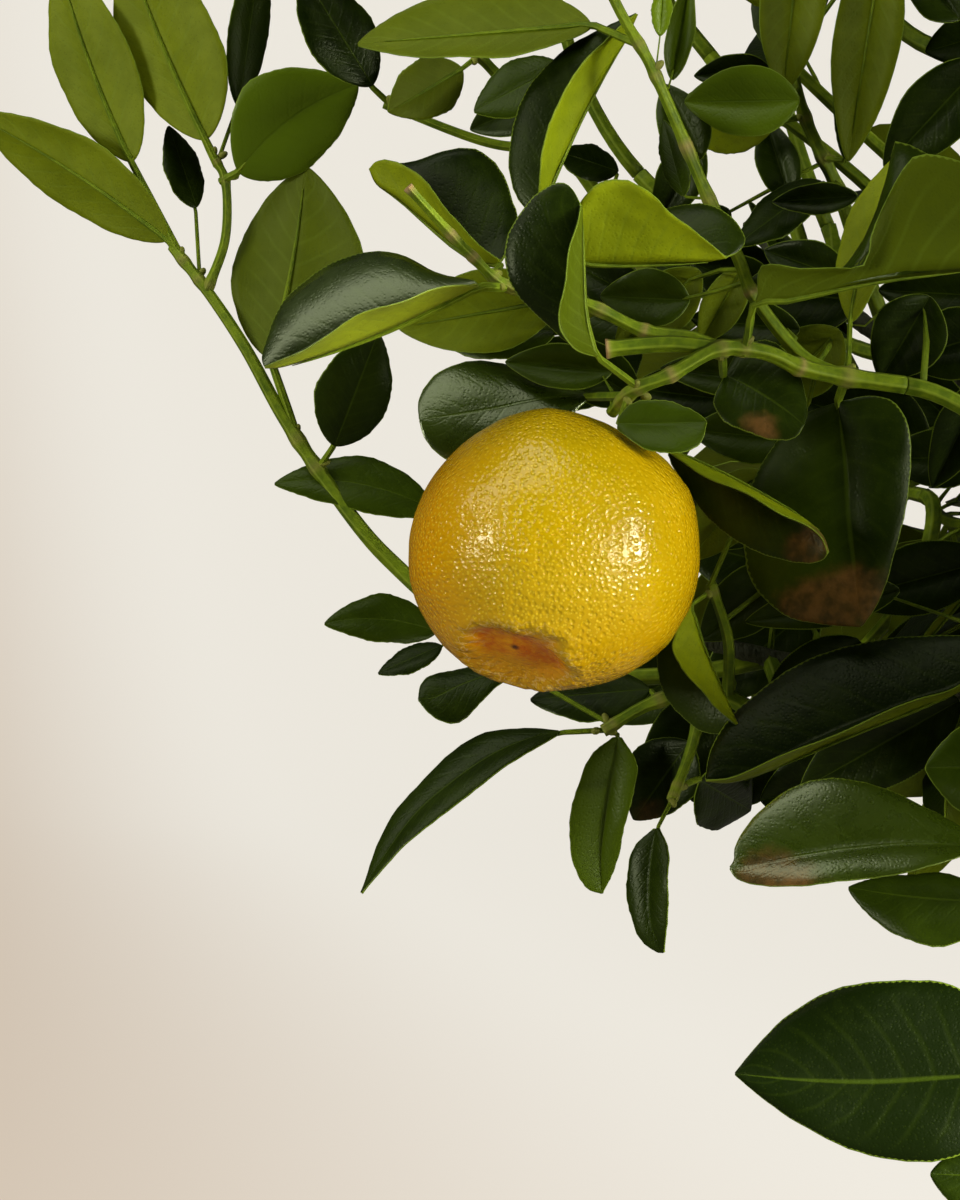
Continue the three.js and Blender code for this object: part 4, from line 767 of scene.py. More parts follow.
def growLeaf(spray, number, scale=1.0, tries=leafSettings["tries"], inSolids=False):
    rule, draw = leafSettings, spray["draw"]
    curve, outward = spray["curve"], spray["outward"]
    lowest, rest = rule["shares"]
    share = lowest + rest * number / (crownSettings["leaves"] - 1)
    root, axis = curve(min(share, rule["lastRoot"])), heading(curve, min(share, 1))
    side, other = crossways(axis)
    size = rule["size"][0] + rule["size"][1] * draw()
    atFoot, change, chance = rule["splay"]
    splay = math.radians(atFoot + change * share + chance * (draw() - 0.5))
    tilt = np.array([draw() - 0.5, draw() - 0.5, draw() - 0.5]) * rule["tilt"]
    droop = rule["droop"][0] + rule["droop"][1] * draw()
    fold = rule["fold"][0] + rule["fold"][1] * draw()
    for attempt in range(tries):
        turn = goldenAngle * number + rule["nextTurn"] * attempt
        radial = side * math.cos(turn) + other * math.sin(turn)
        stalk = axis * math.cos(splay) + radial * math.sin(splay)
        base = root + stalk * rule["stalk"]
        forward = unit(stalk + outward * rule["outward"] - up * rule["sinking"])
        lift = up * rule["facing"][0] + outward * rule["facing"][1] + tilt
        lift = lift - forward * float(lift @ forward)
        if math.sqrt(float(lift @ lift)) < rule["leastLift"]:
            lift = radial - forward * float(radial @ forward)
        lift = unit(lift)
        length = rule["length"] * size * scale * (1 - rule["shrinking"] * attempt)
        shape = {"base": base, "forward": forward, "lift": lift, "right": np.cross(forward, lift),
                 "length": length, "half": rule["half"] * length, "droop": droop, "fold": fold}
        leaf = asLeaf(partial(plainSurface, shape), root, rule["stations"])
        first, last = leaf["stations"]
        outline = [leaf["base"], first["left"], last["left"], leaf["tip"], last["right"], first["right"],
                   leaf["base"]]
        rim = [(*(a + (b - a) * way), rule["rimBead"])
               for a, b in zip(outline, outline[1:]) for way in (0.25, 0.5, 0.75, 1)]
        stalkBeads = [(*(root + (base - root) * way), rule["stalkBead"]) for way in (0, 0.3, 0.6, 0.8, 1)]
        if (tooNear(stalkBeads, woodBeads) or tooNear(stalkBeads[2:], twigBeads) or tooNear(rim, woodBeads)
                or tooNear(rim, twigBeads) or any(spoilsPicture(point) for point in outline)):
            continue
        cage = leafCage(leaf)
        if not isFree(cage):
            continue
        hides = hidesGap(leaf)
        if hides and not inSolids:
            continue
        keepClearOf(cage)
        if hides:
            unusedCages.append(len(cages) - 1)
        else:
            spray["leaves"].append(leaf)
        return


unusedCages = []
for number in range(crownSettings["leaves"] - 1, -1, -1):
    for spray in sprays:
        growLeaf(spray, number, inSolids=True)
cageBalls[unusedCages, 3] = -1e6  # the finer leaves may grow there
for index, spray in enumerate(sprays):
    plan[f"spray_{index + 1:02d}"] = {"stems": [(spray["curve"], *crownSettings["twig"])],
                                      "leaves": spray["leaves"]}

# leaves deeper in the crown, behind the shown ones: base, tip, half widths left and right, tone;
# each hangs on the nearest twig, and slips back until it has room; a low tone paints the top toward
# near-black shade
deepSlips = (0, -5, -10, -15, -20, -26, -32, -40, -50)
deepEdge = 3  # how far both edges stand toward the eye
deepLeaves = [
    ((560, 300, -20), (398, 328, -24), (-44, 40), 0.3), ((612, 372, -14), (505, 362, -18), (22, -24), 0.9),
    ((690, 300, -20), (600, 296, -24), (30, -30), 0.8), ((700, 270, -30), (615, 352, -34), (-30, 30), 0.3),
    ((742, 268, -22), (700, 345, -26), (-20, 22), 0.5), ((800, 330, -24), (690, 318, -28), (26, -26), 0.2),
    ((840, 330, -22), (770, 400, -26), (-34, 34), 0.2), ((770, 380, -18), (660, 368, -20), (20, -22), 0.4),
    ((800, 440, -28), (690, 430, -30), (28, -30), 0.7), ((760, 470, -26), (690, 560, -28), (-30, 30), 0.2),
    ((790, 570, -30), (700, 640, -34), (30, -34), 0.6), ((900, 590, -26), (745, 622, -30), (22, -26), 0.5),
    ((820, 600, -36), (700, 700, -40), (40, -40), 0.2), ((860, 640, -30), (760, 740, -34), (36, -40), 0.1),
    ((960, 700, -30), (800, 790, -36), (44, -44), 0.1), ((990, 560, -24), (840, 600, -28), (36, -36), 0.1),
    ((985, 380, -26), (932, 488, -30), (26, -26), 0.1), ((990, 458, -36), (880, 458, -40), (30, -30), 0.1),
    ((930, 296, -20), (880, 380, -24), (40, -36), 0.1), ((1000, 330, -28), (900, 360, -30), (36, -36), 0.1),
    ((858, 196, -34), (772, 202, -38), (16, -16), 0.1), ((700, 160, -30), (664, 84, -34), (26, -26), 0.6),
    ((800, 100, -24), (684, 102, -28), (36, -36), 1.5), ((770, 68, -34), (694, 76, -38), (18, -18), 0.1),
    ((800, -70, -28), (783, 94, -32), (-33, 33), 0.9), ((884, -70, -30), (848, 162, -34), (-34, 34), 0.9),
    ((985, 60, -30), (884, 168, -34), (36, -36), 0.1), ((1000, 30, -40), (925, 52, -44), (26, -26), 0.2),
    ((740, 700, -44), (640, 790, -48), (40, -44), 0.3), ((780, 740, -50), (690, 800, -54), (40, -40), 0.1),
    ((720, 650, -50), (600, 720, -54), (36, -36), 0.3), ((860, 780, -50), (760, 800, -54), (40, -40), 0.1),
    ((1000, 620, -44), (860, 690, -48), (44, -44), 0.1), ((660, 330, -44), (560, 300, -48), (36, -36), 0.4),
    ((640, 400, -30), (540, 340, -34), (30, -30), 0.5), ((760, 540, -44), (690, 480, -48), (36, -36), 0.1),
    ((930, 440, -44), (800, 400, -48), (44, -44), 0.1), ((860, 300, -44), (740, 290, -48), (40, -40), 0.1),
    ((560, 90, -30), (470, 130, -34), (26, -26), 0.2), ((672, 80, -28), (690, -20, -30), (14, -14), 1.3),
    ((790, 200, -40), (764, 118, -44), (22, -22), 0.2), ((850, 280, -30), (764, 250, -34), (26, -26), 0.1),
    ((700, 140, -40), (656, 226, -44), (24, -24), 0.3), ((960, 20, -34), (908, -40, -38), (26, -26), 0.3),
    ((780, 300, -26), (690, 262, -30), (28, -28), 0.2), ((730, 210, -44), (660, 260, -48), (26, -26), 0.5),
    ((990, 296, -36), (878, 290, -40), (28, -28), 0.1), ((970, 440, -40), (876, 352, -44), (32, -32), 0.1),
    ((985, 210, -46), (868, 262, -50), (34, -34), 0.1), ((850, 340, -50), (748, 200, -54), (14, -14), 0.1),
    ((650, 306, -34), (570, 262, -38), (26, -26), 0.2), ((730, 400, -40), (630, 388, -44), (30, -30), 0.1),
    ((780, 566, -46), (680, 540, -50), (36, -36), 0.1), ((640, 330, -52), (560, 280, -56), (34, -34), 0.2),
]
plan["deep"] = {"stems": [], "leaves": []}
beads = np.concatenate([stems["rows"][:stems["count"]] for stems in (twigBeads, woodBeads)])
for base, tip, (left, right), hueAndShade in deepLeaves:
    for slip in deepSlips:
        back = np.array([0, 0, slip])
        foot = fromPicture(np.array(base) + back)
        root = beads[np.argmin(np.linalg.norm(beads[:, :3] - foot, axis=1)), :3]
        row = (root, np.array(base) + back, np.array(tip) + back, (0, 0), (left, deepEdge), (right, deepEdge))
        leaf = asLeaf(partial(shownSurface, row), root, shownStations, hueAndShade)
        cage = leafCage(leaf)
        if isFree(cage):
            keepClearOf(cage)
            plan["deep"]["leaves"].append(leaf)
            break
    else:
        print("no room for the deep leaf at", base)

# more twigs and leaves than the solids have, in the room that is left between them
fillSettings = {
    "near": {"count": 120, "low": (-100, -24, 268), "high": (-18, 40, 450)},
    "crown": {"count": 150, "low": (-100, -90, 290), "high": (110, 95, 440)},
    "seed": 8675,
    "spread": 1.4,
    "gapMargin": 3,             # pixels that stems keep from the light gaps
    "leaves": 5,
    "tries": 12,
    "between": (4.5, 2.5),
    "betweenSize": 0.9,
    "perPiece": 10,
}
grown = len(sprays)
draw = dice(fillSettings["seed"])
for key in ("near", "crown"):
    low, high = (np.array(fillSettings[key][end], float) for end in ("low", "high"))
    for number in range(fillSettings[key]["count"]):
        tip = low + (high - low) * np.array([draw(), draw(), draw()])
        away = (tip - crownSettings["centre"]) / crownSettings["radii"]
        if np.linalg.norm(away) >= 1.0:
            continue
        spread = np.array([draw() - 0.5, draw() - 0.5, draw() - 0.4]) * fillSettings["spread"]
        direction = unit(unit(away) + spread)
        carrier = branchlet(tip, direction)
        stem = [carrier[0](way) for way in np.linspace(0, 1, 25)]
        stem += [tip + direction * out for out in range(5, 60, 5)]
        if not coversGap(stem, fillSettings["gapMargin"]):
            addSpray(tip, direction, carrier, 503 + 11 * number)
fill = sprays[grown:]
for number in range(fillSettings["leaves"] - 1, -1, -1):
    for spray in fill:
        place = number * (crownSettings["leaves"] - 1) / (fillSettings["leaves"] - 1)
        growLeaf(spray, place, tries=fillSettings["tries"])
for spray in sprays:
    for number in fillSettings["between"]:
        growLeaf(spray, number, fillSettings["betweenSize"])
fill = [spray for spray in fill if spray["leaves"]]
for index in range(0, len(fill), fillSettings["perPiece"]):
    part = fill[index:index + fillSettings["perPiece"]]
    plan[f"inner_{index // fillSettings['perPiece'] + 1}"] = {
        "stems": [(spray["curve"], *crownSettings["twig"]) for spray in part],
        "leaves": [leaf for spray in part for leaf in spray["leaves"]]}
print("growth plan:", len(sprays), "sprays,", sum(len(entry["leaves"]) for entry in plan.values()), "leaves")


# Mesh building: parts are shaped in plain coordinates and laid along the plan by a mapping
def pointsOf(mesh):
    points = np.zeros(len(mesh.vertices) * 3)
    mesh.vertices.foreach_get("co", points)
    return points.reshape(-1, 3)


def setPoints(mesh, points):
    mesh.vertices.foreach_set("co", (points * mm).ravel())


def paint(mesh, key, values):
    layer = mesh.attributes.new(key, "FLOAT_VECTOR", "POINT")
    layer.data.foreach_set("vector", np.ascontiguousarray(values, dtype=np.float32).ravel())


def asMesh(bm, name):
    mesh = bpy.data.meshes.new(name)
    bm.to_mesh(mesh)
    bm.free()
    return mesh


def reshape(mesh, change):
    bm = bmesh.new()
    bm.from_mesh(mesh)
    change(bm)
    bm.to_mesh(mesh)
    bm.free()


def ofKind(kind, items):
    return [item for item in items if isinstance(item, kind)]


def bladePattern(name, rows, columns, crisp):
    # a flat blade: x is the share along it (0..1), y across (-1..1), z the face (1 upper, -1 under)
    bm = bmesh.new()
    bmesh.ops.create_grid(bm, x_segments=rows, y_segments=columns, size=1)
    faces = list(bm.faces)
    made = bmesh.ops.extrude_face_region(bm, geom=faces)["geom"]
    bmesh.ops.reverse_faces(bm, faces=faces)
    bmesh.ops.translate(bm, verts=bm.verts, vec=(0, 0, -1))
    bmesh.ops.translate(bm, verts=ofKind(bmesh.types.BMVert, made), vec=(0, 0, 2))
    rim = [e for e in bm.edges if e.verts[0].co.z * e.verts[1].co.z < 0]
    if crisp:  # few faces: sharp edges keep the rim's shading apart
        for e in bm.edges:
            if e.calc_face_angle(0) > 0.8:
                e.smooth = False
    else:
        bmesh.ops.subdivide_edges(bm, edges=rim, cuts=1, use_grid_fill=True)
    for v in bm.verts:
        v.co.x = 0.5 - 0.5 * math.cos(math.pi * (v.co.x + 1) / 2)
    bmesh.ops.recalc_face_normals(bm, faces=bm.faces)
    return asMesh(bm, name)


def stemPattern(name, sides, rings):
    # a closed round bar: x and y on the unit circle, z the share along it
    bm = bmesh.new()
    ring = bmesh.ops.create_circle(bm, cap_ends=True, segments=sides, radius=1)["verts"]
    edges = list({e for v in ring for e in v.link_edges})
    for _ in range(rings):
        made = bmesh.ops.extrude_edge_only(bm, edges=edges)["geom"]
        edges = ofKind(bmesh.types.BMEdge, made)
        bmesh.ops.translate(bm, verts=ofKind(bmesh.types.BMVert, made), vec=(0, 0, 1 / rings))
    bmesh.ops.edgenet_fill(bm, edges=edges)
    bmesh.ops.recalc_face_normals(bm, faces=bm.faces)
    return asMesh(bm, name)


def ballPattern(name, level):
    bm = bmesh.new()
    bmesh.ops.create_icosphere(bm, subdivisions=level, radius=1)
    return asMesh(bm, name)


patterns = {
    "shownBlade": bladePattern("shownBlade", 44, 14, False),
    "crownBlade": bladePattern("crownBlade", 7, 4, True),
    "nearBlade": bladePattern("nearBlade", 18, 6, False),
    "shownStalk": stemPattern("shownStalk", 8, 14),
    "crownStalk": stemPattern("crownStalk", 4, 4),
    "shownTwig": stemPattern("shownTwig", 14, 90),
    "twig": stemPattern("twig", 7, 12),
    "bud": ballPattern("bud", 2),
    "grain": ballPattern("grain", 1),
}
patternPoints = {key: pointsOf(mesh) for key, mesh in patterns.items()}
plainTone = (0.5, 0.0, 0.5)


def newGathering():
    return {"bm": bmesh.new(), "points": [], "blade": [], "tone": []}


def addPart(gathering, key, points, slot=0, blade=None, tone=plainTone):
    bm = gathering["bm"]
    before = len(bm.faces)
    bm.from_mesh(patterns[key])
    bm.faces.ensure_lookup_table()
    for i in range(before, len(bm.faces)):
        bm.faces[i].material_index = slot
        bm.faces[i].smooth = True
    count = len(patternPoints[key])
    gathering["points"].append(points)
    gathering["blade"].append(np.zeros((count, 3)) if blade is None else blade)
    gathering["tone"].append(np.tile(tone, (count, 1)) if np.ndim(tone) == 1 else tone)


def asPiece(name, mesh, materials, replaced):
    for material in materials:
        mesh.materials.append(material)
    mesh.update()
    piece = newObject(name, mesh)
    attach(piece, "root")
    if replaced:
        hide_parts(*replaced)


def finishPiece(name, gathering, materials, replaced=()):
    mesh = asMesh(gathering["bm"], name)
    setPoints(mesh, np.concatenate(gathering["points"]))
    for key in ("blade", "tone"):
        paint(mesh, key, np.concatenate(gathering[key]))
    reshape(mesh, lambda bm: bmesh.ops.recalc_face_normals(bm, faces=bm.faces))
    asPiece(name, mesh, materials, replaced)


bladeSettings = {
    "thickness": 0.62,      # of a blade, mm
    "thinning": 0.62,       # of the thickness toward the edge, as a share
    "roundness": 0.15,      # of the rim, as a share of the thickness
    "arch": 0.07,           # how far each half bulges, as a share of its width
    "wave": 0.45,           # of the edge, mm
    "teeth": 0.13,          # of the shown leaves' edge, mm
    "teethPerBlade": (26, 17),
    "fullHalf": 12,         # half width, mm, of a blade with the full wave
    "ends": (0.004, 0.996),  # shares of the length that the fine blade runs over
    "waves": (2.2, 2),      # along the edge: least, and more by chance
    "stalk": 0.8,
    "rootDepth": 0.8,
    "midribDrop": 0.42,
    # the shown twigs' radius at both ends, as a share of the plan's own
    "twigFullness": {"fruit_shoot": [(0.98, 0.98), (0.92, 0.92), (1.1, 0.7), (0.82, 0.82)]},
    "nodeSwelling": 0.24,   # of a twig, as a share of its radius
    "bud": 0.75,
}


def unitRows(rows):
    length = np.maximum(np.linalg.norm(rows, axis=1), 1e-9)[:, None]
    return rows / length


def layBlade(gathering, key, leaf, seed, tone, slot=0):
    rule, flat, surface = bladeSettings, patternPoints[key], leaf["surface"]
    start, end = rule["ends"]
    share = start + (end - start) * flat[:, 0]
    across, face = flat[:, 1], flat[:, 2]
    point = surface(share, across)
    step = 0.01
    overward = surface(share, np.minimum(across + step, 1)) - surface(share, np.maximum(across - step, -1))
    onward = surface(np.minimum(share + step, 1), across) - surface(np.maximum(share - step, 0), across)
    draw = dice(seed)
    middle = surface(0.5, 0.0)
    half = (np.linalg.norm(surface(0.5, 1.0) - middle) + np.linalg.norm(surface(0.5, -1.0) - middle)) / 2
    size = min(half / rule["fullHalf"], 1.2)
    fullness = np.sin(np.pi * share)
    bulge = rule["arch"] * half * 4 * np.abs(across) * (1 - np.abs(across)) * fullness
    least, more = rule["waves"]
    turns, phase = least + more * draw(), 6.3 * draw()
    wave = np.sin(2 * np.pi * turns * share + phase + (across > 0) * 6.3 * draw())
    lift = bulge + rule["wave"] * size * np.abs(across) ** 2 * fullness * wave
    lift += face * rule["thickness"] / 2 * (1 - rule["thinning"] * np.abs(across) ** 4)
    point = point + unitRows(np.cross(overward, onward)) * lift[:, None]
    atEdge = np.sign(across) * (np.abs(across) > 0.99)
    rim = (np.abs(face) < 0.5) * atEdge * rule["thickness"] * rule["roundness"]
    if key == "shownBlade":
        many, few = rule["teethPerBlade"]
        teeth = np.sin(2 * np.pi * many * share + phase) + 0.6 * np.sin(2 * np.pi * few * share)
        rim = rim + atEdge * rule["teeth"] * teeth * fullness
    point = point + unitRows(overward) * rim[:, None]
    addPart(gathering, key, point, slot, np.stack([share, across, face], axis=1), tone)


def layStem(gathering, key, curve, radiusAt, slot=1, ridge=0.0, tone=plainTone, nodes=()):
    # nodes: shares of the length where the stem swells and turns tan, with the width of each
    flat = patternPoints[key]
    tone = np.tile(tone, (len(flat), 1))
    chord = unit(curve(1.0) - curve(0.0))
    points = np.zeros_like(flat)
    blade = np.zeros_like(flat)
    for share in np.unique(np.round(flat[:, 2], 6)):
        rows = np.abs(flat[:, 2] - share) < 1e-4
        x, y = flat[rows, 0], flat[rows, 1]
        side, other = crossways(heading(curve, float(share)), chord)
        angle = np.arctan2(y, x)
        knots = [(math.exp(-((share - place) / width) ** 2), tan) for place, width, tan in nodes]
        swelling = 1 + bladeSettings["nodeSwelling"] * max([knot for knot, _ in knots], default=0)
        tone[rows, 1] += max([knot ** 3 * tan for knot, tan in knots], default=0)
        radius = radiusAt(float(share)) * swelling * (1 + ridge * np.cos(3 * angle))
        points[rows] = curve(float(share)) + side * (x * radius)[:, None] + other * (y * radius)[:, None]
        blade[rows] = np.stack([np.full(len(angle), share), angle / np.pi, np.zeros(len(angle))], axis=1)
    addPart(gathering, key, points, slot, blade, tone)


def layStalk(gathering, key, leaf):
    # the stalk from inside the twig to the blade, and on as the midrib a little below it
    root, base, surface = leaf["root"], leaf["base"], leaf["surface"]
    inward = unit(root - base) * bladeSettings["rootDepth"]
    ribs = [surface(share, 0.0) for share in (0.12, 0.3, 0.5, 0.72, 0.88)]
    overward = surface(0.5, 1.0) - surface(0.5, -1.0)
    under = unit(np.cross(unit(ribs[-1] - base), unit(overward))) * bladeSettings["midribDrop"]
    points = [root + inward, root, (root + base) / 2 + under * 0.3, base + under * 0.6]
    thick = bladeSettings["stalk"] * min(np.linalg.norm(overward) / 20, 1)

    def radiusAt(share):
        return thick * (1.15 - 0.25 * share if share < 0.35 else 1.06 * (1.07 - share) / 0.75)
    layStem(gathering, key, catmull(points + [rib + under for rib in ribs]), radiusAt)


print("patterns are ready")


# Materials
def addNode(tree, kind, links=None, **settings):
    node = tree.nodes.new(kind)
    for key, value in settings.items():
        setattr(node, key, value)
    for key, value in (links or {}).items():
        if isinstance(value, bpy.types.NodeSocket):
            tree.links.new(value, node.inputs[key])
        else:
            node.inputs[key].default_value = value
    return node


def reckon(operation, *values):
    tree = ofKind(bpy.types.NodeSocket, values)[0].id_data
    return addNode(tree, "ShaderNodeMath", dict(enumerate(values)), operation=operation).outputs[0]


def plus(first, second):
    return reckon("ADD", first, second)


def times(first, second):
    return reckon("MULTIPLY", first, second)


def timesPlus(value, factor, addend):
    return reckon("MULTIPLY_ADD", value, factor, addend)


def ramp(value, low, high, toLow=0.0, toHigh=1.0):
    links = {"Value": value, "From Min": low, "From Max": high, "To Min": toLow, "To Max": toHigh}
    return addNode(value.id_data, "ShaderNodeMapRange", links, interpolation_type="SMOOTHSTEP").outputs[0]


def blend(mask, *colours):
    links = {"Factor": mask}
    for key, colour in zip((6, 7), colours):
        links[key] = colour if isinstance(colour, bpy.types.NodeSocket) else (*colour, 1)
    return addNode(mask.id_data, "ShaderNodeMix", links, data_type="RGBA").outputs[2]


def cloudy(place, scale, detail):
    links = {"Vector": place, "Scale": scale, "Detail": detail}
    return addNode(place.id_data, "ShaderNodeTexNoise", links).outputs[0]


def newGroup(name, given, made):
    tree = bpy.data.node_groups.new(name, "ShaderNodeTree")
    sockets = ((given, "INPUT", "Vector"), ("Scale", "INPUT", "Float"), (made, "OUTPUT", "Float"))
    for label, way, kind in sockets:
        tree.interface.new_socket(name=label, in_out=way, socket_type="NodeSocket" + kind)
    start, end = tree.nodes.new("NodeGroupInput"), tree.nodes.new("NodeGroupOutput")
    return tree, start.outputs[0], start.outputs[1], end.inputs[0]


# uneven tone: soft blotches of two sizes
mottle, place, scale, made = newGroup("mottle", "Vector", "Mask")
blotches = timesPlus(cloudy(place, times(scale, 4.3), 3.0), 0.4, times(cloudy(place, scale, 5.0), 0.6))
mottle.links.new(ramp(blotches, 0.36, 0.64), made)

# small pits or glands: round cells with a soft wall between them
pits, place, scale, made = newGroup("pits", "Vector", "Height")
cells = addNode(pits, "ShaderNodeTexVoronoi", {"Vector": place, "Scale": scale})
pits.links.new(ramp(cells.outputs["Distance"], 0.05, 0.55), made)

# dimples of one size all round a ball: flat cells seen from three sides, blended by the direction
dimples, way, scale, made = newGroup("dimples", "Direction", "Height")
outward = addNode(dimples, "ShaderNodeSeparateXYZ", {0: way}).outputs
total, weights = 0.0, 0.0
for first, second, third in ((0, 1, 2), (1, 2, 0), (2, 0, 1)):
    flat = addNode(dimples, "ShaderNodeCombineXYZ", {0: outward[first], 1: outward[second]}).outputs[0]
    links = {"Vector": flat, "Scale": scale, "Randomness": 0.85}
    cells = addNode(dimples, "ShaderNodeTexVoronoi", links, voronoi_dimensions="2D")
    weight = reckon("POWER", reckon("ABSOLUTE", outward[third]), 8.0)
    total = timesPlus(ramp(cells.outputs["Distance"], 0.08, 0.42), weight, total)
    weights = plus(weight, weights)
dimples.links.new(reckon("DIVIDE", total, weights), made)


def newMaterial(name, roughness, specular=0.5, tint=(1.0, 1.0, 1.0)):
    material = bpy.data.materials.new(name)
    material.use_nodes = True
    shader = material.node_tree.nodes["Principled BSDF"]
    shader.inputs["Roughness"].default_value = roughness
    shader.inputs["Specular IOR Level"].default_value = specular
    shader.inputs["Specular Tint"].default_value = (*tint, 1)
    return material, shader, material.node_tree.nodes.new("ShaderNodeTexCoord").outputs["Object"]


def finishMaterial(shader, colour, height, strength, distance):
    tree = shader.id_data
    tree.links.new(colour, shader.inputs["Base Color"])
    bump = addNode(tree, "ShaderNodeBump", {"Height": height, "Strength": strength, "Distance": distance})
    tree.links.new(bump.outputs[0], shader.inputs["Normal"])


def grouped(group, place, scale):
    return addNode(place.id_data, "ShaderNodeGroup", {0: place, 1: scale}, node_tree=group).outputs[0]


def painted(shader, name):
    node = addNode(shader.id_data, "ShaderNodeAttribute", attribute_name=name)
    return addNode(shader.id_data, "ShaderNodeSeparateXYZ", {0: node.outputs["Vector"]}).outputs


leafLook = {
    "topInShade": (0.0040, 0.0090, 0.0004),
    "topLight": (0.0330, 0.0570, 0.0012),
    "young": (0.1200, 0.1900, 0.0050),
    "under": (0.2750, 0.3350, 0.0035),
    "underOlive": (0.0480, 0.0700, 0.0006),
    "margin": (0.1500, 0.2200, 0.0160),
    "rib": (0.0650, 0.1050, 0.0050),
    "scorch": (0.1650, 0.0800, 0.0200),
    "burnt": (0.0420, 0.0290, 0.0080),
    "marginStart": 0.984,
    "veins": 9.0,           # side veins on each half
    "veinSlant": 2.1,
    "veinStrength": 0.06,
    "scallops": 330.0,      # of the margin, radians along the blade
}


def makeLeafMaterial(name, gloss, smoothest):
    look = leafLook
    material, shader, place = newMaterial(name, 0.45, gloss, (0.90, 1.0, 0.62))
    share, across, face = painted(shader, "blade")
    hueAndShade, patch, light = painted(shader, "tone")
    off = reckon("ABSOLUTE", across)
    upper = ramp(face, -0.2, 0.2)
    blotch = grouped(mottle, place, 90.0)
    # side veins leave the midrib forward and fade before the edge
    run = reckon("SUBTRACT", times(share, look["veins"]), times(off, look["veinSlant"]))
    run = plus(run, times(cloudy(place, 120.0, 2.0), 0.3))
    line = reckon("ABSOLUTE", reckon("SUBTRACT", reckon("FRACT", run), 0.5))
    vein = times(ramp(line, 0.0, 0.16, 1.0, 0.0), ramp(off, 0.55, 0.95, 1.0, 0.0))
    rib = ramp(off, 0.010, 0.04, 1.0, 0.0)
    dots = grouped(pits, place, 1500.0)
    glands = ramp(dots, 0.35, 0.0, 0.0, 0.30)
    # the top goes from a near-black green, which is painted shade, to a lighter green by the hue and the
    # blotches; young leaves are paler still
    top = blend(timesPlus(blotch, 0.25, times(hueAndShade, 0.8)), look["topInShade"], look["topLight"])
    top = blend(ramp(hueAndShade, 1.0, 2.0), top, look["young"])
    # the underside goes from olive to a light green by the tone's third value, set leaf by leaf partly as
    # painted light and shade
    below = blend(light, look["underOlive"], look["under"])
    for mask, strength in ((vein, look["veinStrength"]), (rib, 0.4), (glands, 0.35)):
        top = blend(times(mask, strength), top, look["rib"])
    below = blend(times(blotch, 0.3), below, look["underOlive"])
    below = blend(times(vein, 0.16), below, look["margin"])
    below = blend(glands, below, look["underOlive"])
    colour = blend(upper, below, top)
    # scorched patches on some leaves, nearer the tip and edge
    scorch = plus(times(blotch, 0.5), times(share, 0.35))
    scorch = ramp(plus(plus(scorch, times(off, 0.25)), patch), 0.95, 1.95, 0.0, 0.9)
    colour = blend(scorch, colour, blend(grouped(mottle, place, 130.0), look["scorch"], look["burnt"]))
    # a thin light margin, finely scalloped
    scallop = times(reckon("SINE", times(share, look["scallops"])), 0.006)
    edge = ramp(plus(off, scallop), look["marginStart"], look["marginStart"] + 0.01)
    edge = reckon("MAXIMUM", edge, ramp(reckon("ABSOLUTE", face), 0.9, 0.98, 1.0, 0.0))
    colour = blend(times(edge, 0.8), colour, look["margin"])
    rough = plus(ramp(upper, 0.0, 1.0, 0.52, smoothest), times(blotch, 0.06))
    shader.id_data.links.new(rough, shader.inputs["Roughness"])
    height = timesPlus(vein, -0.13, times(cloudy(place, 420.0, 3.0), 0.4))
    height = timesPlus(dots, 0.16, timesPlus(rib, -0.5, height))
    finishMaterial(shader, colour, height, 0.4, 0.0004)
    return material


twigLook = {"green": (0.165, 0.235, 0.008), "shade": (0.075, 0.125, 0.005), "ridge": (0.290, 0.370, 0.030),
            "node": (0.360, 0.230, 0.100), "ridges": 15.7}


def makeTwigMaterial():
    material, shader, place = newMaterial("green_twig", 0.5, 0.15, (1.0, 1.0, 0.62))
    turn, node = painted(shader, "blade")[1], painted(shader, "tone")[1]
    colour = blend(grouped(mottle, place, 160.0), twigLook["green"], twigLook["shade"])
    ridge = reckon("SINE", times(turn, twigLook["ridges"]))
    colour = blend(ramp(ridge, 0.4, 1.0, 0.0, 0.35), colour, twigLook["ridge"])
    colour = blend(node, colour, twigLook["node"])
    finishMaterial(shader, colour, plus(cloudy(place, 900.0, 3.0), ridge), 0.4, 0.0003)
    return material


fruitLook = {
    "yellow": (0.610, 0.385, 0.0008),
    "golden": (0.590, 0.275, 0.0010),
    "olive": (0.400, 0.290, 0.0010),
    "hollow": (0.760, 0.330, 0.0030),
    "hollowDeep": (0.600, 0.130, 0.0015),
    "gland": (0.850, 0.640, 0.0300),
    "pith": (0.860, 0.640, 0.2200),
    "scar": (0.100, 0.030, 0.0100),
    "dimples": 19.0,     # over a ball of radius 1
    "glands": 30.0,
}


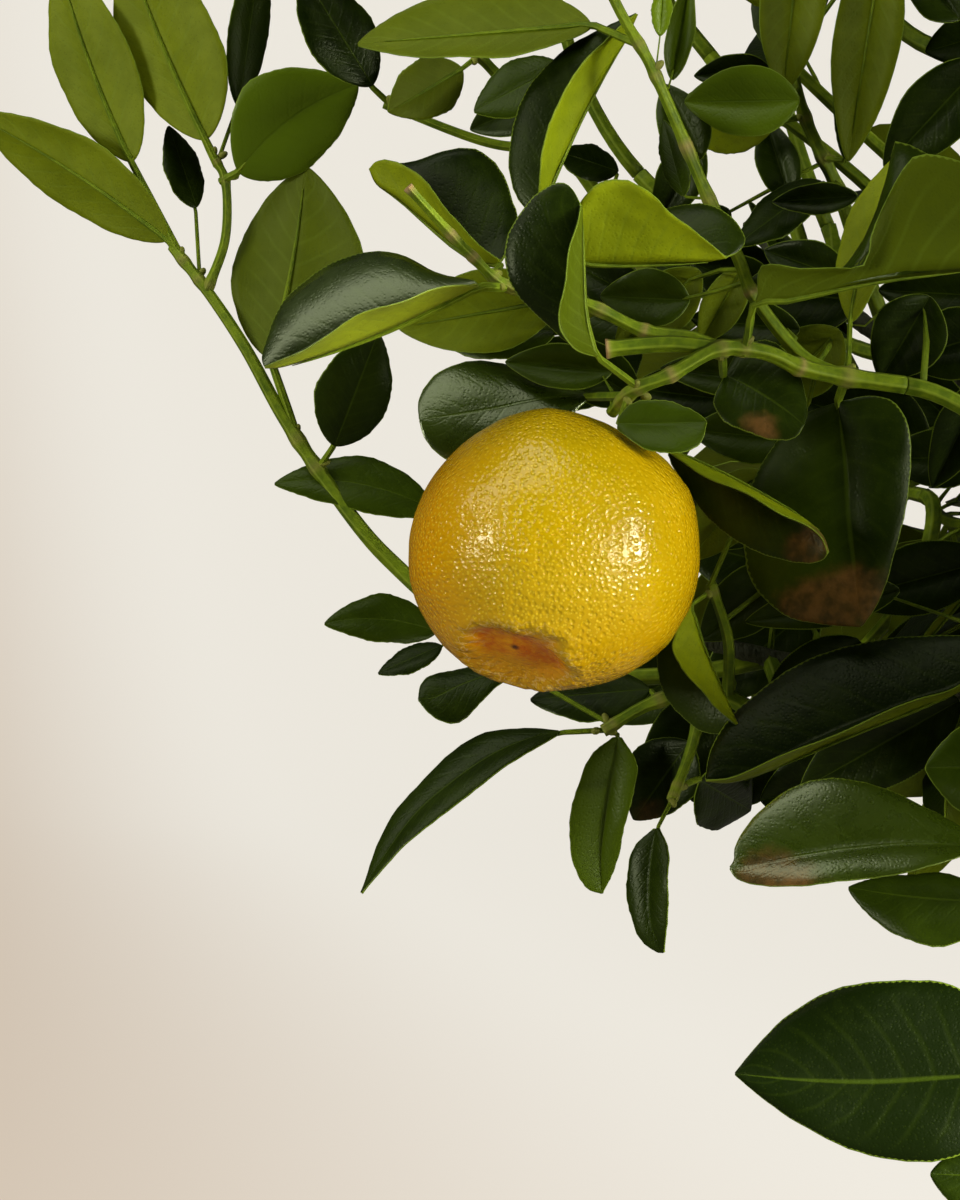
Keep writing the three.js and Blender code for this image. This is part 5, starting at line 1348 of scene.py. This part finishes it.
def makeRindMaterial():
    look = fruitLook
    material, shader, place = newMaterial("rind", 0.17, 0.55, (1.0, 0.96, 0.72))
    links = {0: place, 1: tuple(fruitCentre * mm)}
    fromCentre = addNode(shader.id_data, "ShaderNodeVectorMath", links, operation="SUBTRACT").outputs[0]
    way = addNode(shader.id_data, "ShaderNodeVectorMath", {0: fromCentre}, operation="NORMALIZE").outputs[0]
    hollow, goldenAndShade, scar = painted(shader, "tone")
    lip, high, _ = painted(shader, "blade")
    glands = grouped(dimples, way, look["glands"])
    smooth = reckon("SUBTRACT", 1.0, hollow)
    # yellow with olive blotches, and olive toward the top as painted shade
    colour = blend(timesPlus(grouped(mottle, place, 60.0), 0.35, high), look["yellow"], look["olive"])
    # more golden in the hollow, and toward the left, the bottom and the outline as painted shade
    colour = blend(goldenAndShade, colour, look["golden"])
    colour = blend(times(ramp(glands, 0.75, 0.0, 0.0, 0.42), smooth), colour, look["gland"])
    colour = blend(hollow, colour, blend(grouped(mottle, place, 170.0), look["hollow"], look["hollowDeep"]))
    # pale creases round the hollow's lip
    wander = reckon("ABSOLUTE", reckon("SUBTRACT", cloudy(place, 300.0, 4.0), 0.5))
    crease = times(ramp(wander, 0.0, 0.03, 0.38, 0.0), lip)
    colour = blend(crease, colour, look["pith"])
    colour = blend(scar, colour, look["scar"])
    height = times(grouped(dimples, way, look["dimples"]), smooth)
    height = timesPlus(cloudy(place, 1800.0, 2.0), 0.25, height)
    height = timesPlus(crease, 0.4, timesPlus(glands, 0.35, height))
    finishMaterial(shader, colour, height, 1.0, 0.00013)
    return material


barkLook = {"grey": (0.150, 0.125, 0.095), "brown": (0.070, 0.050, 0.034), "lichen": (0.10, 0.11, 0.06),
            "young": (0.030, 0.040, 0.007)}


def makeBarkMaterial():
    material, shader, place = newMaterial("bark", 0.85)
    young = painted(shader, "tone")[2]
    links = {"Vector": place, "Scale": (1.0, 1.0, 0.22)}
    tall = addNode(shader.id_data, "ShaderNodeMapping", links).outputs[0]
    streak = grouped(mottle, tall, 260.0)
    colour = blend(streak, barkLook["brown"], barkLook["grey"])
    colour = blend(times(grouped(mottle, place, 60.0), 0.35), colour, barkLook["lichen"])
    colour = blend(young, colour, barkLook["young"])
    finishMaterial(shader, colour, streak, 0.8, 0.0008)
    return material


clayLook = {"body": (0.125, 0.062, 0.038), "light": (0.220, 0.125, 0.080), "dark": (0.055, 0.030, 0.022),
            "stain": (0.30, 0.25, 0.19)}


def makeClayMaterial():
    material, shader, place = newMaterial("clay", 0.62)
    blotch = grouped(mottle, place, 22.0)
    edge, stain, _ = painted(shader, "tone")
    colour = blend(blotch, clayLook["body"], clayLook["dark"])
    colour = blend(ramp(grouped(pits, place, 520.0), 0.25, 0.0, 0.0, 0.7), colour, clayLook["light"])
    colour = blend(times(edge, 0.6), colour, clayLook["light"])
    colour = blend(times(stain, times(blotch, 0.6)), colour, clayLook["stain"])
    finishMaterial(shader, colour, cloudy(place, 900.0, 4.0), 0.5, 0.0004)
    return material


def makeEarthMaterial(name, dark, light, scale):
    material, shader, place = newMaterial(name, 0.95)
    colour = blend(grouped(mottle, place, scale), dark, light)
    finishMaterial(shader, colour, cloudy(place, scale * 4, 5.0), 0.9, 0.0008)
    return material


leafMaterial = makeLeafMaterial("leaf", 0.15, 0.32)
glossyLeafMaterial = makeLeafMaterial("leaf_glossy", 0.90, 0.25)
twigMaterial = makeTwigMaterial()
rindMaterial = makeRindMaterial()
barkMaterial = makeBarkMaterial()
clayMaterial = makeClayMaterial()
soilMaterial = makeEarthMaterial("soil", (0.020, 0.012, 0.007), (0.075, 0.048, 0.028), 300.0)
grainMaterial = makeEarthMaterial("soil_grains", (0.060, 0.036, 0.020), (0.190, 0.120, 0.065), 260.0)
mossMaterial = makeEarthMaterial("moss", (0.020, 0.040, 0.006), (0.085, 0.130, 0.016), 500.0)
print("materials are ready")

# Leaves and twigs
leafTones = {  # hue, scorch and lightness of the underside, for the shown leaves; a low hue darkens the top toward painted shade, and the underside's lightness is partly painted light and shade
    "L1": (0.30, 0.0, 0.80), "L2": (0.05, 0.0, 0.05), "L3": (0.15, 0.0, 1.00), "L4": (0.05, 0.0, 0.80),
    "L5": (0.20, 0.0, 0.64), "L7": (0.60, 0.0, 0.50), "L8": (1.00, 0.0, 0.60), "L9": (0.40, 0.0, 0.62),
    "bud1": (2.0, 0.0, 0.6), "L10": (0.30, 0.0, 0.4), "R1": (0.30, 0.0, 0.10), "R2": (1.60, 0.0, 0.80),
    "R3": (0.15, 0.0, 0.5), "L27": (1.3, 0.05, 0.24), "L11": (0.90, 0.0, 0.12), "L6": (0.90, 0.0, 0.4),
    "L14": (0.45, 0.0, 0.95), "L15": (0.10, 0.0, 0.3), "L16": (0.25, 0.0, 0.5), "L17": (1.42, 0.0, 0.4),
    "L18": (0.30, 0.0, 0.5), "L19": (-0.15, 0.0, 0.45), "L20": (1.00, 0.0, 0.5), "L22": (-0.25, 0.0, 0.5),
    "L23": (0.20, 0.0, 0.5), "L24": (0.80, 0.0, 0.5), "L21": (0.60, 0.0, 0.7), "LA": (1.2, 0.0, 0.50),
    "LB": (1.4, 0.0, 0.48), "LC": (1.0, 0.0, 0.52), "LE": (1.54, 0.0, 0.38), "LF": (1.0, 0.0, 0.16),
    "LH": (0.3, 0.0, 0.3), "LD": (0.3, 0.0, 0.3), "LG": (0.2, 0.0, 0.3), "LI": (0.9, 0.0, 0.4),
    "L25": (0.8, 0.0, 0.4), "low1": (0.1, 0.0, 0.3), "low2": (0.1, 0.0, 0.3), "low3": (0.1, 0.0, 0.3),
    "up1": (0.5, 0.0, 0.3), "up2": (0.7, 0.0, 0.4), "up4": (0.1, 0.0, 0.3), "top4": (0.1, 0.0, 0.3),
}
scorchedPlaces = {  # where a shown leaf is scorched, in the picture: across, down, radius
    "R3": [(835, 606, 34), (800, 612, 26), (862, 590, 22)], "L9": [(812, 545, 22), (800, 552, 14)],
    "L10": [(758, 430, 20)], "L20": [(790, 880, 32), (755, 872, 22)], "low3": [(652, 812, 16)],
}
glossyLeaves = ("L1", "L7", "L20")
litSides = {"R3": (1, 0.55), "L14": (1, 0.3)}  # the side, -1 left or 1 right, and how much yellower: painted light on the side that catches the lamps
bareNodes = [(690, 144), (644, 331), (671, 374), (478, 252), (455, 232), (750, 291), (800, 367)]
cutEnds = [(606, 349), (408, 187)]
nodeSettings = {  # how near, in mm for a leaf and else in pixels, half the swelling's length, how tan
    "leaf": (3.5, 1.5, 0.25),
    "bare": (9, 1.2, 0.55),
    "cut": (9, 1.0, 1.0),
}


def nodesOf(curve, roots):
    # where leaves, and buds alone, stand on a shown twig; a cut end is tan as well
    shares = np.linspace(0, 1, 161)
    line = np.array([curve(share) for share in shares])
    length = np.linalg.norm(np.diff(line, axis=0), axis=1).sum()
    across, down = toPicture(line.T)
    distances = [("leaf", np.linalg.norm(line - root, axis=1)) for root in roots]
    distances += [("bare", np.hypot(across - x, down - y)) for x, y in bareNodes]
    found = []
    for kind, away in distances:
        near, half, tan = nodeSettings[kind]
        if away.min() < near:
            found.append((shares[away.argmin()], half / length, tan))
    near, half, tan = nodeSettings["cut"]
    ends = [math.hypot(across[-1] - x, down[-1] - y) for x, y in cutEnds]
    return found + [(1.0, half / length, tan) for away in ends if away < near]


def unevenTone(leaf, name, tone):
    # a shown leaf's tone at each of its points: yellower on one side as painted light, scorched in places
    flat = patternPoints["shownBlade"]
    across, down = toPicture(leaf["surface"](flat[:, 0], flat[:, 1]).T)
    tones = np.tile(tone, (len(flat), 1))
    side, more = litSides.get(name, (1, 0.0))
    tones[:, 0] += more * np.clip(flat[:, 1] * side * 4, 0, 1)
    for x, y, radius in scorchedPlaces.get(name, ()):
        tones[:, 1] += 1.4 * np.exp(-(((across - x) ** 2 + (down - y) ** 2) / radius ** 2) ** 1.1)
    return tones


def layBud(gathering, leaf):
    # a pointed bud in the angle between the leaf's stalk and its twig
    way = unit(leaf["base"] - leaf["root"])
    slim = patternPoints["bud"] * np.array([1, 1, 1.7]) * bladeSettings["bud"]
    side = unit(np.cross(way, alongX))
    lift = unit(np.cross(side, way) + way * 1.2)
    lean = unit(np.cross(side, lift))
    points = slim[:, :1] * side + slim[:, 1:2] * lean + slim[:, 2:] * lift
    points += leaf["root"] + way * 1.6 + lift * 0.6
    addPart(gathering, "bud", points, 1, None, (0.5, 0.25, 0.5))


for pieceIndex, (name, entry) in enumerate(plan.items()):
    gathering = newGathering()
    shown, deep = name in shownShoots, name == "deep"
    fullness = bladeSettings["twigFullness"].get(name, [(1.0, 1.0)] * len(entry["stems"]))
    roots = [leaf["root"] for leaf in entry["leaves"]]
    for (curve, thick, thin), (first, last) in zip(entry["stems"], fullness):
        layStem(gathering, "shownTwig" if shown else "twig", curve, tapered(thick * first, thin * last),
                ridge=0.05, nodes=nodesOf(curve, roots) if shown else ())
    for number, leaf in enumerate(entry["leaves"]):
        draw = dice(977 * (pieceIndex + 1) + 131 * number + 7)
        tone = (draw() ** 1.5, 0.5 * draw() ** 4, 0.15 + 0.55 * draw())
        kind, slot = "crown", 0
        if shown:
            leafName = entry["names"][number]
            tone = unevenTone(leaf, leafName, leafTones.get(leafName, tone))
            kind, slot = "shown", 2 if leafName in glossyLeaves else 0
        elif deep:
            kind, tone = "near", (leaf["tone"], 0.0, 0.3)
        layBlade(gathering, kind + "Blade", leaf, 31 + 17 * number + pieceIndex, tone, slot)
        layStalk(gathering, "shownStalk" if shown else "crownStalk", leaf)
        if shown:
            layBud(gathering, leaf)
    materials = [leafMaterial, twigMaterial] + ([glossyLeafMaterial] if shown else [])
    replaced = () if deep or name.startswith("inner") else (name,)
    finishPiece(name + "_leaves", gathering, materials, replaced)
print("shoots and sprays are grown")


# Pieces of one mesh
def plainPiece(name, mesh, material, replaced=()):
    mesh.name = name
    mesh.polygons.foreach_set("use_smooth", [True] * len(mesh.polygons))
    asPiece(name, mesh, [material], replaced)


def evaluatedMesh(item, *others):
    # the mesh that the modifiers make; the objects that it comes from go
    graph = bpy.context.evaluated_depsgraph_get()
    mesh = bpy.data.meshes.new_from_object(item.evaluated_get(graph))
    for done in (item, *others):
        bpy.data.objects.remove(done)
    return mesh


def spun(name, profile, steps, closed=True):
    bm = bmesh.new()
    verts = [bm.verts.new((radius, 0, height)) for radius, height in profile]
    edges = [bm.edges.new(pair) for pair in zip(verts, verts[1:])]
    bmesh.ops.spin(bm, geom=verts + edges, cent=(0, 0, 0), axis=(0, 0, 1), angle=2 * math.pi, steps=steps,
                   use_merge=True)
    bmesh.ops.remove_doubles(bm, verts=bm.verts, dist=0.001)
    if closed:
        bmesh.ops.recalc_face_normals(bm, faces=bm.faces)
    return asMesh(bm, name)


def turbulence(points, scale, octaves=4):
    return np.array([noise.fractal(Vector(p * scale), 1.0, 2.0, octaves) for p in points])


# Fruit
rindSettings = {
    "level": 7,            # of the ball that it is shaped from
    "axis": (0.26, 0.48, 0.84),
    "scar": (-0.31, -0.54, -0.78),
    "scarWidth": 0.034,
    "hollow": 3.2,
    "hollowWidth": 0.36,
    "hollowSteepness": 5,
    "raggedness": 0.17,
    "stalkHollow": 2.0,
    "stalkWidth": 0.22,
    "lip": (0.40, 0.09),   # radians from the blossom's end, and half its width
    "rise": (0.46, 0.08, 0.35),
    "pleats": 21,
    "pleatDepth": 0.16,
    "outline": [(0, 26.1), (23, 26.5), (39, 26.8), (55, 26.1), (72, 25.5), (88, 25.2), (104, 25.2),
                (120, 25.6), (137, 26.1), (152, 26.1), (167, 26.2), (184, 25.7), (201, 25.2), (220, 24.8),
                (240, 24.8), (268, 25.1), (288, 24.3), (305, 24.3), (323, 25.8), (337, 26.4), (350, 26.1),
                (360, 26.1)],
    "lumps": 0.3,
}


def makeFruit():
    rule = rindSettings
    mesh = ballPattern("fruit_rind", rule["level"])
    way = pointsOf(mesh)
    axis = unit(np.array(rule["axis"]))
    height = np.clip(way @ axis, -1, 1)  # 1 at the stalk's end, -1 at the blossom's end
    fromBlossom = np.arccos(-height)
    ragged = fromBlossom * (1 + rule["raggedness"] * turbulence(way, 3.1, 2))
    hollow = np.exp(-((ragged / rule["hollowWidth"]) ** rule["hollowSteepness"]))
    stalkHollow = np.exp(-(((np.pi - fromBlossom) / rule["stalkWidth"]) ** 2))
    # the outline as it stands in the picture, angles clockwise from its right, squeezes the whole ball
    angle = np.degrees(np.arctan2(-way[:, 2], way[:, 0])) % 360
    fromView = np.hypot(way[:, 0], way[:, 2])
    outline = np.interp(angle, *zip(*rule["outline"]))
    flatter = pole + (equator - pole) * (1 - height ** 2)
    radius = flatter + (outline - flatter) * fromView ** 2
    # pleats run over the lip into the hollow
    side = unit(np.cross(axis, alongX))
    around = np.arctan2(way @ np.cross(axis, side), way @ side)
    uneven = turbulence(way, 7.0, 3)
    place, width = rule["lip"]
    lip = np.exp(-(((ragged - place) / width) ** 2))
    pleats = lip * (rule["pleatDepth"] * np.sin(rule["pleats"] * around + 5 * uneven) + 0.3 * uneven)
    place, width, rise = rule["rise"]
    raised = rise * np.exp(-(((ragged - place) / width) ** 2))
    lumps = turbulence(way, 2.2, 3) * rule["lumps"]
    radius = radius + (lumps + pleats + raised - rule["hollow"] * hollow - rule["stalkHollow"] * stalkHollow)
    setPoints(mesh, way * radius[:, None] + fruitCentre)
    # orange in the hollow, and toward the picture's left and bottom and the outline that the camera sees as
    # painted shade; greener in the middle
    left, low = np.clip(-way[:, 0], 0, 1), np.clip(-way[:, 2], 0, 1)
    goldenAndShade = np.clip(1.15 * left ** 2 + 0.5 * low ** 2 + 0.25 * fromView ** 4 + 0.3 * hollow, 0, 1)
    # olive toward the top, which is painted shade
    high = 0.75 * np.clip(way[:, 2], 0, 1) ** 1.5
    fromScar = np.arccos(np.clip(way @ unit(np.array(rule["scar"])), -1, 1))
    scar = np.exp(-((fromScar / rule["scarWidth"]) ** 4))
    orange = np.clip(hollow * 2.4 - 0.25, 0, 1) * np.clip((0.985 - fromView) / 0.09, 0.2, 1)
    paint(mesh, "tone", np.stack([orange, goldenAndShade, scar], axis=1))
    # the lip's creases, and the olive top as painted shade
    paint(mesh, "blade", np.stack([np.clip(lip * 1.2, 0, 1), high, high * 0], axis=1))
    plainPiece("fruit_rind", mesh, rindMaterial, ("fruit",))


makeFruit()
print("fruit is ready")

# Trunk and branches
barkSettings = {
    "voxel": 1.25, "ridge": 0.45, "ridgeScale": 0.35, "lump": 0.9, "lumpScale": 0.06,
    "stretch": 0.2,        # ridges run up the trunk
}


def makeWood():
    gathering = newGathering()
    for key, sides, rings in (("trunk", 40, 90), ("flare", 60, 14), ("branch", 14, 20)):
        patterns[key] = stemPattern(key, sides, rings)
        patternPoints[key] = pointsOf(patterns[key])
    layStem(gathering, "trunk", trunkCurve, trunkRadius)
    foot, socket = woodSettings["foot"], woodSettings["socket"]
    start = up * foot
    layStem(gathering, "branch", lambda share: start + up * (woodSettings["socketTop"] - foot) * share,
            lambda share: socket)
    low = woodSettings["soilTop"] + woodSettings["clearance"]
    high = woodSettings["soilTop"] + woodSettings["flareHeight"]
    flat = patternPoints["flare"]
    angle, share = np.arctan2(flat[:, 1], flat[:, 0]), flat[:, 2]
    lobe = 1 + woodSettings["lobeDepth"] * (1 - share) * np.cos(woodSettings["flareLobes"] * angle)
    spread = np.clip(1 - share, 0, 1) ** woodSettings["flareSteepness"]
    radius = (socket - 1 + (woodSettings["flareRadius"] - socket) * spread) * lobe
    away = np.hypot(flat[:, 0], flat[:, 1])
    points = np.stack([flat[:, 0] * radius, flat[:, 1] * radius, low + (high - low) * share], axis=1)
    points[away < 0.5, :2] = 0
    addPart(gathering, "flare", points)
    for curve, thick in branches:
        radiusAt = tapered(thick, woodSettings["branchTip"], woodSettings["branchTaper"])
        layStem(gathering, "branch", curve, radiusAt)
    mesh = asMesh(gathering["bm"], "trunk_shell")
    setPoints(mesh, np.concatenate(gathering["points"]))
    shell = newObject("trunk_shell", mesh)
    remesh = shell.modifiers.new("fuse", "REMESH")
    remesh.mode = "VOXEL"
    remesh.voxel_size = barkSettings["voxel"] * mm
    remesh.use_smooth_shade = True
    fused = evaluatedMesh(shell)
    axes = {"use_axis_x": True, "use_axis_y": True, "use_axis_z": True}
    reshape(fused, lambda bm: bmesh.ops.smooth_vert(bm, verts=bm.verts, factor=0.5, **axes))
    points = pointsOf(fused) / mm
    normals = np.zeros(len(points) * 3)
    fused.vertices.foreach_get("normal", normals)
    # lower bumps where the wood is thin, and none in the ground
    fromAxis = np.hypot(points[:, 0], points[:, 1])
    thickness = np.clip(1.15 - fromAxis / 60, 0.25, 1) * np.clip((480 - points[:, 2]) / 200, 0.3, 1)
    tall = points * np.array([1, 1, barkSettings["stretch"]])
    rough = turbulence(tall, barkSettings["ridgeScale"], 4) * barkSettings["ridge"]
    rough += turbulence(points, barkSettings["lumpScale"], 2) * barkSettings["lump"]
    buried = np.clip((points[:, 2] - 70) / 8, 0, 1)
    setPoints(fused, points + normals.reshape(-1, 3) * (rough * thickness * buried)[:, None])
    young = np.clip((fromAxis - 16) / 34, 0, 0.85)  # greener away from the trunk
    paint(fused, "tone", np.stack([young * 0, young * 0, young], axis=1))
    plainPiece("trunk_bark", fused, barkMaterial, ("wood",))
    print("wood is ready,", len(fused.polygons), "faces")


makeWood()
gathering = newGathering()
for curve, thick in branchlets:
    radiusAt = tapered(thick, woodSettings["branchTip"])
    layStem(gathering, "twig", curve, radiusAt, ridge=0.04, tone=(0.5, 0.0, 0.7))
finishPiece("branchlets", gathering, [barkMaterial, twigMaterial])

# Pot
potSettings = {
    "depthRatio": 0.74,
    "profile": [(0, 0), (102, 0), (104.6, 0.8), (106, 4), (107, 8), (112, 29), (118, 53), (122.6, 72.5),
                (124, 75), (128.6, 75.8), (130, 77.5), (130, 81.5), (129.3, 83.3), (127.5, 84), (120.6, 84),
                (119, 83.2), (117.2, 78), (114, 65), (99, 11), (0, 11)],
    "steps": 112,
    "drain": 8.0,
    "drainOffset": 58.0,
    "drainDepth": 30.0,
    "sharp": 0.9,          # radians; sharper edges stay apart in the shading
}


def ovalRadius(x, y):
    # the radius of the pot's oval that runs through a place
    return np.hypot(x, y / potSettings["depthRatio"])


def sharpen(bm):
    for e in bm.edges:
        if e.calc_face_angle(0) > potSettings["sharp"]:
            e.smooth = False


def makePot():
    mesh = spun("pot_body", potSettings["profile"], potSettings["steps"])
    setPoints(mesh, pointsOf(mesh) * np.array([1, potSettings["depthRatio"], 1]))
    body = newObject("pot_body", mesh)
    drain, depth = potSettings["drain"] * mm, potSettings["drainDepth"] * mm
    cutters = []
    for side in (-1, 1):
        bm = bmesh.new()
        bmesh.ops.create_cone(bm, cap_ends=True, segments=32, radius1=drain, radius2=drain, depth=depth)
        bmesh.ops.translate(bm, verts=bm.verts, vec=(side * potSettings["drainOffset"] * mm, 0, 0.005))
        cutters.append(newObject("drain", asMesh(bm, "drain")))
        cut = body.modifiers.new("drain", "BOOLEAN")
        cut.operation = "DIFFERENCE"
        cut.solver = "EXACT"
        cut.object = cutters[-1]
    mesh = evaluatedMesh(body, *cutters)
    reshape(mesh, sharpen)
    x, y, height = (pointsOf(mesh) / mm).T
    radius = ovalRadius(x, y)
    edge = np.clip((radius - 128.4) / 1.6, 0, 1) * (height > 75) + (height < 3) * (radius > 101)
    stain = np.clip((height - 55) / 28, 0, 1)
    paint(mesh, "tone", np.stack([np.clip(edge, 0, 1), stain, stain], axis=1))
    plainPiece("pot_clay", mesh, clayMaterial, ("pot",))


makePot()

# Soil, its grains and moss
soilSettings = {
    # radii and heights: of the trunk's hole from its floor to its lip, and of the soil's top by the oval
    "hole": [(0, 41.7), (17.2, 41.7), (17.2, 76.4), (18.2, 77)],
    "levels": ([0, 50, 84.5, 115.4], [77, 77, 75.25, 72]),
    "rings": (22.5, 115.0, 2.2),
    "wall": [(115.3, 72), (98.7, 11.3), (0, 11.3)],
    "roundTo": 18.2,
    "ovalFrom": 50,
    "bumps": 0.9,
}


def soilHeight(radius):
    # level round the trunk and lower at the wall, by the oval's own radius
    return np.interp(radius, *soilSettings["levels"])


def makeSoil():
    top = [(radius, float(soilHeight(radius))) for radius in np.arange(*soilSettings["rings"])]
    mesh = spun("soil_bed", soilSettings["hole"] + top + soilSettings["wall"], 128)
    points = pointsOf(mesh)
    radius = np.hypot(points[:, 0], points[:, 1])
    # a circle at the trunk's hole, the pot's oval at the wall
    oval, roundTo = potSettings["depthRatio"], soilSettings["roundTo"]
    ratio = np.interp(radius, [roundTo, soilSettings["ovalFrom"]], [1.0, oval])
    points[:, 1] *= np.where(points[:, 2] < 60, np.where(radius < roundTo + 0.1, 1.0, oval), ratio)
    loose = (points[:, 2] > 71) & (radius > 21) & (radius < 113)
    points[loose, 2] += turbulence(points[loose], 0.16, 4) * soilSettings["bumps"] - 0.5
    setPoints(mesh, points)
    plainPiece("soil_bed", mesh, soilMaterial, ("soil",))


grainSettings = {"seed": 4242, "count": 1500, "reach": 112, "fromTrunk": 3, "size": (0.9, 1.5)}


def flareRadiusAt(angle):
    lobe = math.cos(woodSettings["flareLobes"] * angle)
    return woodSettings["flareRadius"] * (1 + woodSettings["lobeDepth"] * lobe)


def makeGrains():
    gathering = newGathering()
    draw = dice(grainSettings["seed"])
    reach, (least, more) = grainSettings["reach"], grainSettings["size"]
    while len(gathering["points"]) < grainSettings["count"]:
        share, angle = math.sqrt(draw()), 2 * math.pi * draw()
        x, y = reach * share * math.cos(angle), reach * share * math.sin(angle) * potSettings["depthRatio"]
        if math.hypot(x, y) < flareRadiusAt(math.atan2(y, x)) + grainSettings["fromTrunk"]:
            continue
        size = least + more * draw() ** 2
        shape = np.array([0.8 + 0.5 * draw(), 0.8 + 0.5 * draw(), 0.6 + 0.4 * draw()]) * size
        spin = 6.3 * draw()
        flat = patternPoints["grain"] * shape
        turned = np.stack([flat[:, 0] * math.cos(spin) - flat[:, 1] * math.sin(spin),
                           flat[:, 0] * math.sin(spin) + flat[:, 1] * math.cos(spin), flat[:, 2]], axis=1)
        height = float(soilHeight(ovalRadius(x, y)))
        addPart(gathering, "grain", turned + np.array([x, y, height + 0.15 * size]))
    finishPiece("soil_grains", gathering, [grainMaterial])


mossSettings = {
    "patches": [  # the middle of each, its length and its width
        (52, 6, 40, 34), (-50, 20, 46, 34), (-24, -48, 52, 26), (64, -30, 32, 26), (6, 54, 50, 20),
        (-84, -14, 26, 30), (88, 22, 24, 26), (-42, -14, 20, 16), (22, -42, 22, 14)],
    "rise": 3.6,
    "depth": 1.5,
    "tufts": ((0.9, 0.9), (2.3, 0.4)),  # how fine, and how high
}


def makeMoss():
    mound = ballPattern("mound", 5)
    flat = pointsOf(mound)
    angle = np.arctan2(flat[:, 1], flat[:, 0])
    above = flat[:, 2] > 0
    whole = bmesh.new()
    parts = []
    for number, (x, y, long, wide) in enumerate(mossSettings["patches"]):
        whole.from_mesh(mound)
        ragged = 1 + 0.16 * np.sin(3 * angle + number) + 0.10 * np.sin(7 * angle + 2 * number)
        place = flat * np.array([long / 2, wide / 2, 1]) * ragged[:, None]
        place[:, 2] = flat[:, 2] * np.where(above, mossSettings["rise"], mossSettings["depth"])
        place += np.array([x, y, 0])
        place[:, 2] += soilHeight(ovalRadius(place[:, 0], place[:, 1])) - 0.2
        tufts = sum(np.array([noise.noise(Vector(p * fine)) for p in place]) * high
                    for fine, high in mossSettings["tufts"])
        place[:, 2] += np.where(above, tufts, 0)
        parts.append(place)
    mesh = asMesh(whole, "moss_patches")
    setPoints(mesh, np.concatenate(parts))
    plainPiece("moss_patches", mesh, mossMaterial)


makeSoil()
makeGrains()
makeMoss()
print("pot, soil and moss are ready")

# The room: a round pale cove and soft lamps
roomLook = {
    "floorRings": (0, 0.6, 1.5, 3.0, 4.6), "wallRadius": 6.0, "wallHeight": 3.4, "bendSteps": 12,
    "below": 0.0005,                   # how far the floor lies under the pot
    "base": (0.16, 0.15, 0.135),       # what lights and shadows fall on
    "glow": (0.815, 0.780, 0.705),     # of the pale paper, for the camera alone
    "glowLow": (0.560, 0.455, 0.350),  # toward the floor's front left
    "glowWay": (1.375, 0.214, 0.271),
    "world": (1.0, 0.965, 0.91), "worldStrength": 0.06,
    "lamps": [  # name, way from the fruit, distance, width, height, power, colour
        ("window_left", (-0.853, -0.514, 0.12), 1.30, 0.30, 0.36, 8.0, (1.0, 0.98, 0.94)),
        ("window_right", (0.880, -0.450, 0.14), 1.30, 0.40, 0.44, 48.0, (1.0, 0.98, 0.94)),
        ("right_fill", (0.84, -0.50, -0.22), 1.90, 1.8, 0.9, 82.0, (1.0, 0.98, 0.94)),
        ("left_fill", (-0.74, -0.20, 0.64), 1.50, 0.7, 0.6, 4.0, (1.0, 0.98, 0.94)),
        ("overhead", (-0.22, -0.30, 1.0), 1.50, 1.2, 1.0, 9.0, (1.0, 0.99, 0.95)),
    ],
}


def makeCove():
    flat, below, steps = roomLook["floorRings"][-1], roomLook["below"], roomLook["bendSteps"]
    bend = roomLook["wallRadius"] - flat
    profile = [(radius, -below) for radius in roomLook["floorRings"]]
    for step in range(1, steps + 1):
        angle = math.pi / 2 * step / steps
        profile.append((flat + bend * math.sin(angle), bend - bend * math.cos(angle) - below))
    profile.append((roomLook["wallRadius"], roomLook["wallHeight"] - below))
    mesh = spun("pale_cove", profile, 72, closed=False)
    mesh.polygons.foreach_set("use_smooth", [True] * len(mesh.polygons))
    material, shader, place = newMaterial("pale_cove", 0.9, 0.1)
    tree = shader.id_data
    shader.inputs["Base Color"].default_value = (*roomLook["base"], 1)
    where = addNode(tree, "ShaderNodeSeparateXYZ", {0: place}).outputs
    ahead, aside, high = roomLook["glowWay"]
    low = timesPlus(where[0], ahead, timesPlus(where[1], aside, times(where[2], high)))
    glow = blend(ramp(low, -0.5, 0.5), roomLook["glowLow"], roomLook["glow"])
    tree.links.new(glow, shader.inputs["Emission Color"])
    seen = addNode(tree, "ShaderNodeLightPath").outputs["Is Camera Ray"]
    tree.links.new(seen, shader.inputs["Emission Strength"])
    mesh.materials.append(material)
    newObject("pale_cove", mesh)


def makeRoom():
    makeCove()
    world = bpy.data.worlds.new("soft_sky")
    world.use_nodes = True
    back = world.node_tree.nodes["Background"]
    back.inputs["Color"].default_value = (*roomLook["world"], 1)
    back.inputs["Strength"].default_value = roomLook["worldStrength"]
    bpy.context.scene.world = world
    aim = Vector(fruitCentre) * mm
    for name, way, distance, width, height, power, colour in roomLook["lamps"]:
        data = bpy.data.lights.new(name, "AREA")
        data.shape = "RECTANGLE"
        data.size, data.size_y, data.energy, data.color = width, height, power, colour
        lamp = newObject(name, data)
        lamp.visible_camera = False
        direction = Vector(way).normalized()
        lamp.location = aim + direction * distance
        lamp.rotation_mode = "QUATERNION"
        lamp.rotation_quaternion = direction.to_track_quat("Z", "Y")
    bpy.context.scene.view_settings.view_transform = "Standard"


makeRoom()
print("room is ready")
